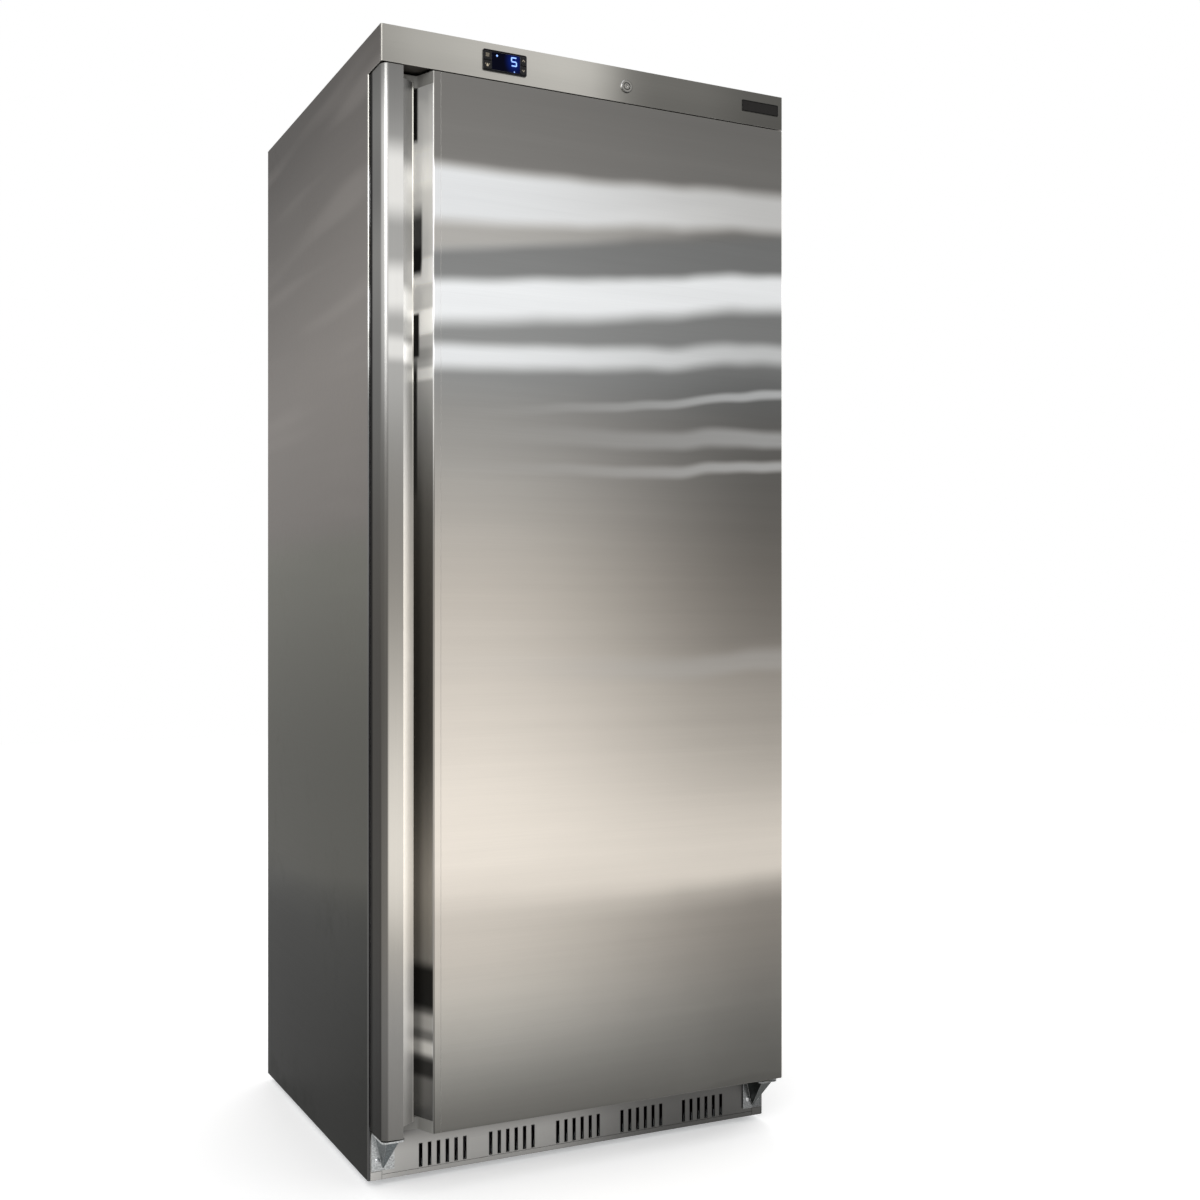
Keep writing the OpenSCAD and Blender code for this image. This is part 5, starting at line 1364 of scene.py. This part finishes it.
@dataclass
class PlateRim:
    """The thin raised edge round the bare plate."""

    workshop: Workshop
    node: str = "bare_plate"
    body: str = "cabinet"
    inset: float = 1.2
    radius: float = 0.55
    sunk: float = 0.3
    steps: int = 9
    parts: int = 4

    def build(self) -> None:
        """Carries a half-round ridge round the plate: (r cos t, face - r sin t) for t from 0 to pi."""
        box = Box(self.node)
        face = box.low[1]
        t = np.linspace(0, np.pi, self.steps)
        ridge = np.stack([self.radius * np.cos(t), face - self.radius * np.sin(t)], axis=-1)
        foot = [(side, face + self.sunk) for side in (-self.radius, self.radius)]
        profile = np.concatenate([ridge, foot])
        points, faces = framed(box, self.inset, profile, self.parts)
        edge = self.workshop.materials["plate_edge"]
        new_piece("plate_rim", points, faces, edge, self.body)


class Symbol(Enum):
    """What a key shows."""

    SLIDERS = "three bars with knobs"
    DROP = "a falling drop"
    UP = "an arrowhead up"
    DOWN = "an arrowhead down"


@dataclass
class KeySymbols:
    """The pale symbols printed on the controller's four keys. Sizes and places are in millimetres."""

    workshop: Workshop
    lift: float = 0.08
    sunk: float = 0.3
    corners: int = 24
    turn: float = 0.07
    bar: Pair = (3.3, 0.38)
    bars: tuple[float, ...] = (-2.2, 0.0, 2.2)
    knob: float = 0.95
    knobs: tuple[Pair, ...] = ((-1.3, 2.2), (1.2, 0.0), (-0.4, -2.2))
    drop: Pair = (2.9, 2.9)
    splash: Pair = (0.9, 1.1)
    splashes: tuple[Pair, ...] = ((3.4, 1.6), (-3.4, 1.6))
    arrow: tuple[Pair, ...] = (
        (0, 2.1), (2.6, -1.1), (2.0, -1.7), (0, 0.75), (-2.0, -1.7), (-2.6, -1.1),
    )
    keys: tuple[tuple[str, Symbol], ...] = (
        ("set", Symbol.SLIDERS), ("defrost", Symbol.DROP), ("up", Symbol.UP), ("down", Symbol.DOWN),
    )

    def outlines(self, symbol: Symbol) -> list[np.ndarray]:
        """The closed outlines of a symbol, in millimetres round its middle.

        Args:
            symbol: Which symbol.

        Returns:
            Outlines as rows of (across, up). A bar is a superellipse, (w |cos t|^0.2, h |sin t|^0.2)
            with the signs kept. A drop is (r sin t sin^1.5(t / 2), r cos t). An arrowhead's corners
            are stated.
        """
        t = np.linspace(0, 2 * np.pi, self.corners, endpoint=False) + self.turn
        circle = np.stack([np.cos(t), np.sin(t)], axis=-1)
        if symbol is Symbol.SLIDERS:
            square = np.sign(circle) * np.abs(circle) ** 0.2
            bars = [square * self.bar + (0, up) for up in self.bars]
            return bars + [circle * self.knob + spot for spot in self.knobs]
        if symbol is Symbol.DROP:
            drop = np.stack([np.sin(t) * np.abs(np.sin(t / 2)) ** 1.5, np.cos(t)], axis=-1)
            return [drop * self.drop] + [drop * self.splash + spot for spot in self.splashes]
        head = np.array(self.arrow)
        return [head if symbol is Symbol.UP else -head]

    def build(self) -> None:
        """Raises each outline a little off its key, as two caps and a wall."""
        for key, symbol in self.keys:
            box = Box(f"key_{key}")
            front, back = box.low[1] - self.lift, box.low[1] + self.sunk
            points, faces, caps = [], [], []
            for outline in self.outlines(symbol):
                first, n = sum(len(p) for p in points), len(outline)
                flat = outline + box.centre()
                points += [np.insert(flat, 1, front, axis=1), np.insert(flat, 1, back, axis=1)]
                ring = np.arange(n)
                wall = np.stack([ring, (ring + 1) % n, (ring + 1) % n + n, ring + n], axis=-1) + first
                caps += [(ring[::-1] + first).tolist(), (ring + first + n).tolist()]
                faces += wall.tolist()
            new_piece(
                f"key_{key}_symbol", np.concatenate(points), faces + caps,
                self.workshop.materials["symbol_print"], f"{key}_key", smooth=False,
            )


@dataclass
class RearScrews:
    """The pan-head screws that hold the rear sheet and its grille. Lengths are in millimetres."""

    workshop: Workshop
    panel: str = "rear_panel"
    body: str = "cabinet"
    radius: float = 4.2
    rise: float = 0.85
    recess: float = 0.55
    cross_half: float = 0.13
    cross_reach: float = 0.62
    sunk: float = 0.3
    first_ring: float = 0.04
    rings: int = 9
    spokes: int = 32
    side: float = 352.0
    side_rows: tuple[float, float, int] = (320.0, 1830.0, 7)
    end_columns: tuple[float, ...] = (-300.0, -150.0, 0.0, 150.0, 300.0)
    end_rows: Pair = (272.0, 1878.0)
    grille_rows: Pair = (22.0, 247.0)

    def spots(self) -> np.ndarray:
        """Lines the screws up at the sides, at the ends and on the grille.

        Returns:
            Where they stand, as rows of (across, up) in millimetres.
        """
        sides = [(x, z) for x in (-self.side, self.side) for z in np.linspace(*self.side_rows)]
        ends = [(x, z) for x in self.end_columns for z in self.end_rows]
        grille = [(x, z) for x in (-self.side, 0.0, self.side) for z in self.grille_rows]
        return np.array(sides + ends + grille)

    def build(self) -> None:
        """Sets a screw head at each spot.

        A head's point at part s of its radius and angle t stands off the sheet by
        rise * (1 - s^4)^0.5, less a cross recess of depth recess where the smaller of |s cos t| and
        |s sin t| is under cross_half and s is under cross_reach.
        """
        s = np.linspace(self.first_ring, 1.0, self.rings)[:, None]
        t = (np.arange(self.spokes) / self.spokes * 2 * np.pi)[None, :]
        x, z = s * np.cos(t), s * np.sin(t)
        cross = (np.minimum(np.abs(x), np.abs(z)) < self.cross_half) & (s < self.cross_reach)
        y = self.rise * np.sqrt(np.clip(1 - s**4, 0, 1)) - self.recess * cross
        head = np.stack([x * self.radius, y, z * self.radius], axis=-1).reshape(-1, 3)
        base = head[-self.spokes:] * (1, 0, 1) - (0, self.sunk, 0)
        shape = np.concatenate([head, base])
        ring = np.arange(self.spokes)
        faces = grid_faces(self.rings + 1, self.spokes, False).tolist()
        faces += [ring.tolist(), (ring + self.rings * self.spokes).tolist()]
        offset = np.insert(self.spots(), 1, Box(self.panel).high[1], axis=1)
        points = (shape[None] + offset[:, None]).reshape(-1, 3)
        every = [[k * len(shape) + corner for corner in face] for k in range(len(offset)) for face in faces]
        zinc = self.workshop.materials["screw_zinc"]
        new_piece("rear_screws", points, every, zinc, self.body)


# ---------------------------------------------------------------------------- studio


def seen_by_eye(r: Recipe) -> Socket:
    """Where a ray comes from the camera, from a mirroring surface or through glass.

    Args:
        r: The recipe of the tree that asks.

    Returns:
        The mask.
    """
    path = r.add("LightPath").outputs
    shown = r.math("MAXIMUM", path["Is Camera Ray"], path["Is Glossy Ray"])
    return r.math("MAXIMUM", shown, path["Is Transmission Ray"])


def set_up(name: str, data: bpy.types.ID, place: Triple, turn: Triple) -> bpy.types.Object:
    """Places a camera or a lamp.

    Args:
        name: Its name.
        data: What it is.
        place: Where it stands.
        turn: How it is turned, in radians.

    Returns:
        The placed object.
    """
    thing = bpy.data.objects.new(name, data)
    thing.location, thing.rotation_euler = place, turn
    bpy.context.scene.collection.objects.link(thing)
    return thing


@dataclass
class Studio:
    """The floor, the lamps, the world and the camera.

    A lamp has its name, where it hangs, what it points at, its side in metres and its watts.
    """

    eye: Triple = (-1.1525, -2.5185, 0.9301)
    turn: float = 24.97
    lens: float = 42.86
    sensor: float = 36.0
    shift: Pair = (0.0658, 0.0198)
    reach: float = 60.0
    floor_half: float = 9.0
    floor_drop: float = 0.0003
    floor_rough: float = 0.8
    floor_glow: float = 0.30
    floor_tones: Pair = (0.93, 0.95)
    soft_light: float = 0.78
    lamps: tuple[tuple[str, Triple, Triple, float, float], ...] = (
        ("key_lamp", (-2.6, -3.4, 3.2), (0.0, 0.0, 0.9), 2.4, 60.0),
        ("fill_lamp", (4.2, -0.4, 2.4), (0.0, 0.0, 0.9), 2.4, 26.0),
        ("back_lamp", (1.0, 3.2, 3.0), (0.0, 0.0, 1.0), 2.4, 30.0),
    )

    def build(self) -> None:
        """Sets up everything round the object."""
        self.build_camera()
        self.build_world()
        self.build_floor()
        self.build_lamps()
        bpy.context.scene.view_settings.view_transform = "Standard"

    def build_camera(self) -> None:
        """Puts the camera level at the photograph's place."""
        data = bpy.data.cameras.new("camera")
        data.lens, data.sensor_width, data.clip_end = self.lens, self.sensor, self.reach
        data.shift_x, data.shift_y = self.shift
        turn = (math.radians(90.0), 0.0, -math.radians(self.turn))
        bpy.context.scene.camera = set_up("camera", data, self.eye, turn)

    def build_world(self) -> None:
        """White to the camera, to metal and to glass, and a plain soft light to the rest."""
        world = bpy.data.worlds.new("studio")
        world.use_nodes = True
        world.node_tree.nodes.clear()
        r = Recipe(world.node_tree)
        feeds = ({"Color": (*NEUTRAL, 1.0), "Strength": strength} for strength in (self.soft_light, 1.0))
        soft, white = (r.add("Background", feed).outputs[0] for feed in feeds)
        both = r.add("MixShader", {0: seen_by_eye(r), 1: soft, 2: white})
        r.add("OutputWorld", {"Surface": both.outputs[0]})
        bpy.context.scene.world = world

    def build_floor(self) -> None:
        """A wide pale floor that reads white and keeps the object's shadow."""
        h, z = self.floor_half, -self.floor_drop
        mesh = bpy.data.meshes.new("floor")
        mesh.from_pydata([(-h, -h, z), (h, -h, z), (h, h, z), (-h, h, z)], [], [(0, 1, 2, 3)])
        floor = bpy.data.objects.new("floor", mesh)
        bpy.context.scene.collection.objects.link(floor)
        material, r, shader = new_material("floor_white")
        low, high = ((tone, tone, tone, 1.0) for tone in self.floor_tones)
        r.fill(shader, {
            "Base Color": r.mix(r.noise(r.spot(), 3.0, 3.0), low, high),
            "Roughness": self.floor_rough,
            "Specular IOR Level": 0.0,
            "Emission Color": r.mix(seen_by_eye(r), (0.0, 0.0, 0.0, 1.0), (*NEUTRAL, 1.0)),
            "Emission Strength": self.floor_glow,
        })
        mesh.materials.append(material)

    def build_lamps(self) -> None:
        """Hangs the square soft lamps, each turned to its target."""
        for name, place, target, side, watts in self.lamps:
            data = bpy.data.lights.new(name, "AREA")
            data.size, data.energy = side, watts
            x, y, z = (end - start for start, end in zip(place, target))
            set_up(name, data, place, (math.atan2(math.hypot(x, y), -z), 0.0, math.atan2(-x, y)))


def main() -> None:
    """Builds the studio, the finishes and the pieces in order."""
    logging.basicConfig(level=logging.INFO, format="%(name)s: %(message)s")
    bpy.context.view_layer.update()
    Studio().build()
    workshop = Workshop(FINISHES)
    for maker in (DoorGasket, PlateRim, KeySymbols, RearScrews):
        maker(workshop).build()


if __name__ == "__main__":
    main()
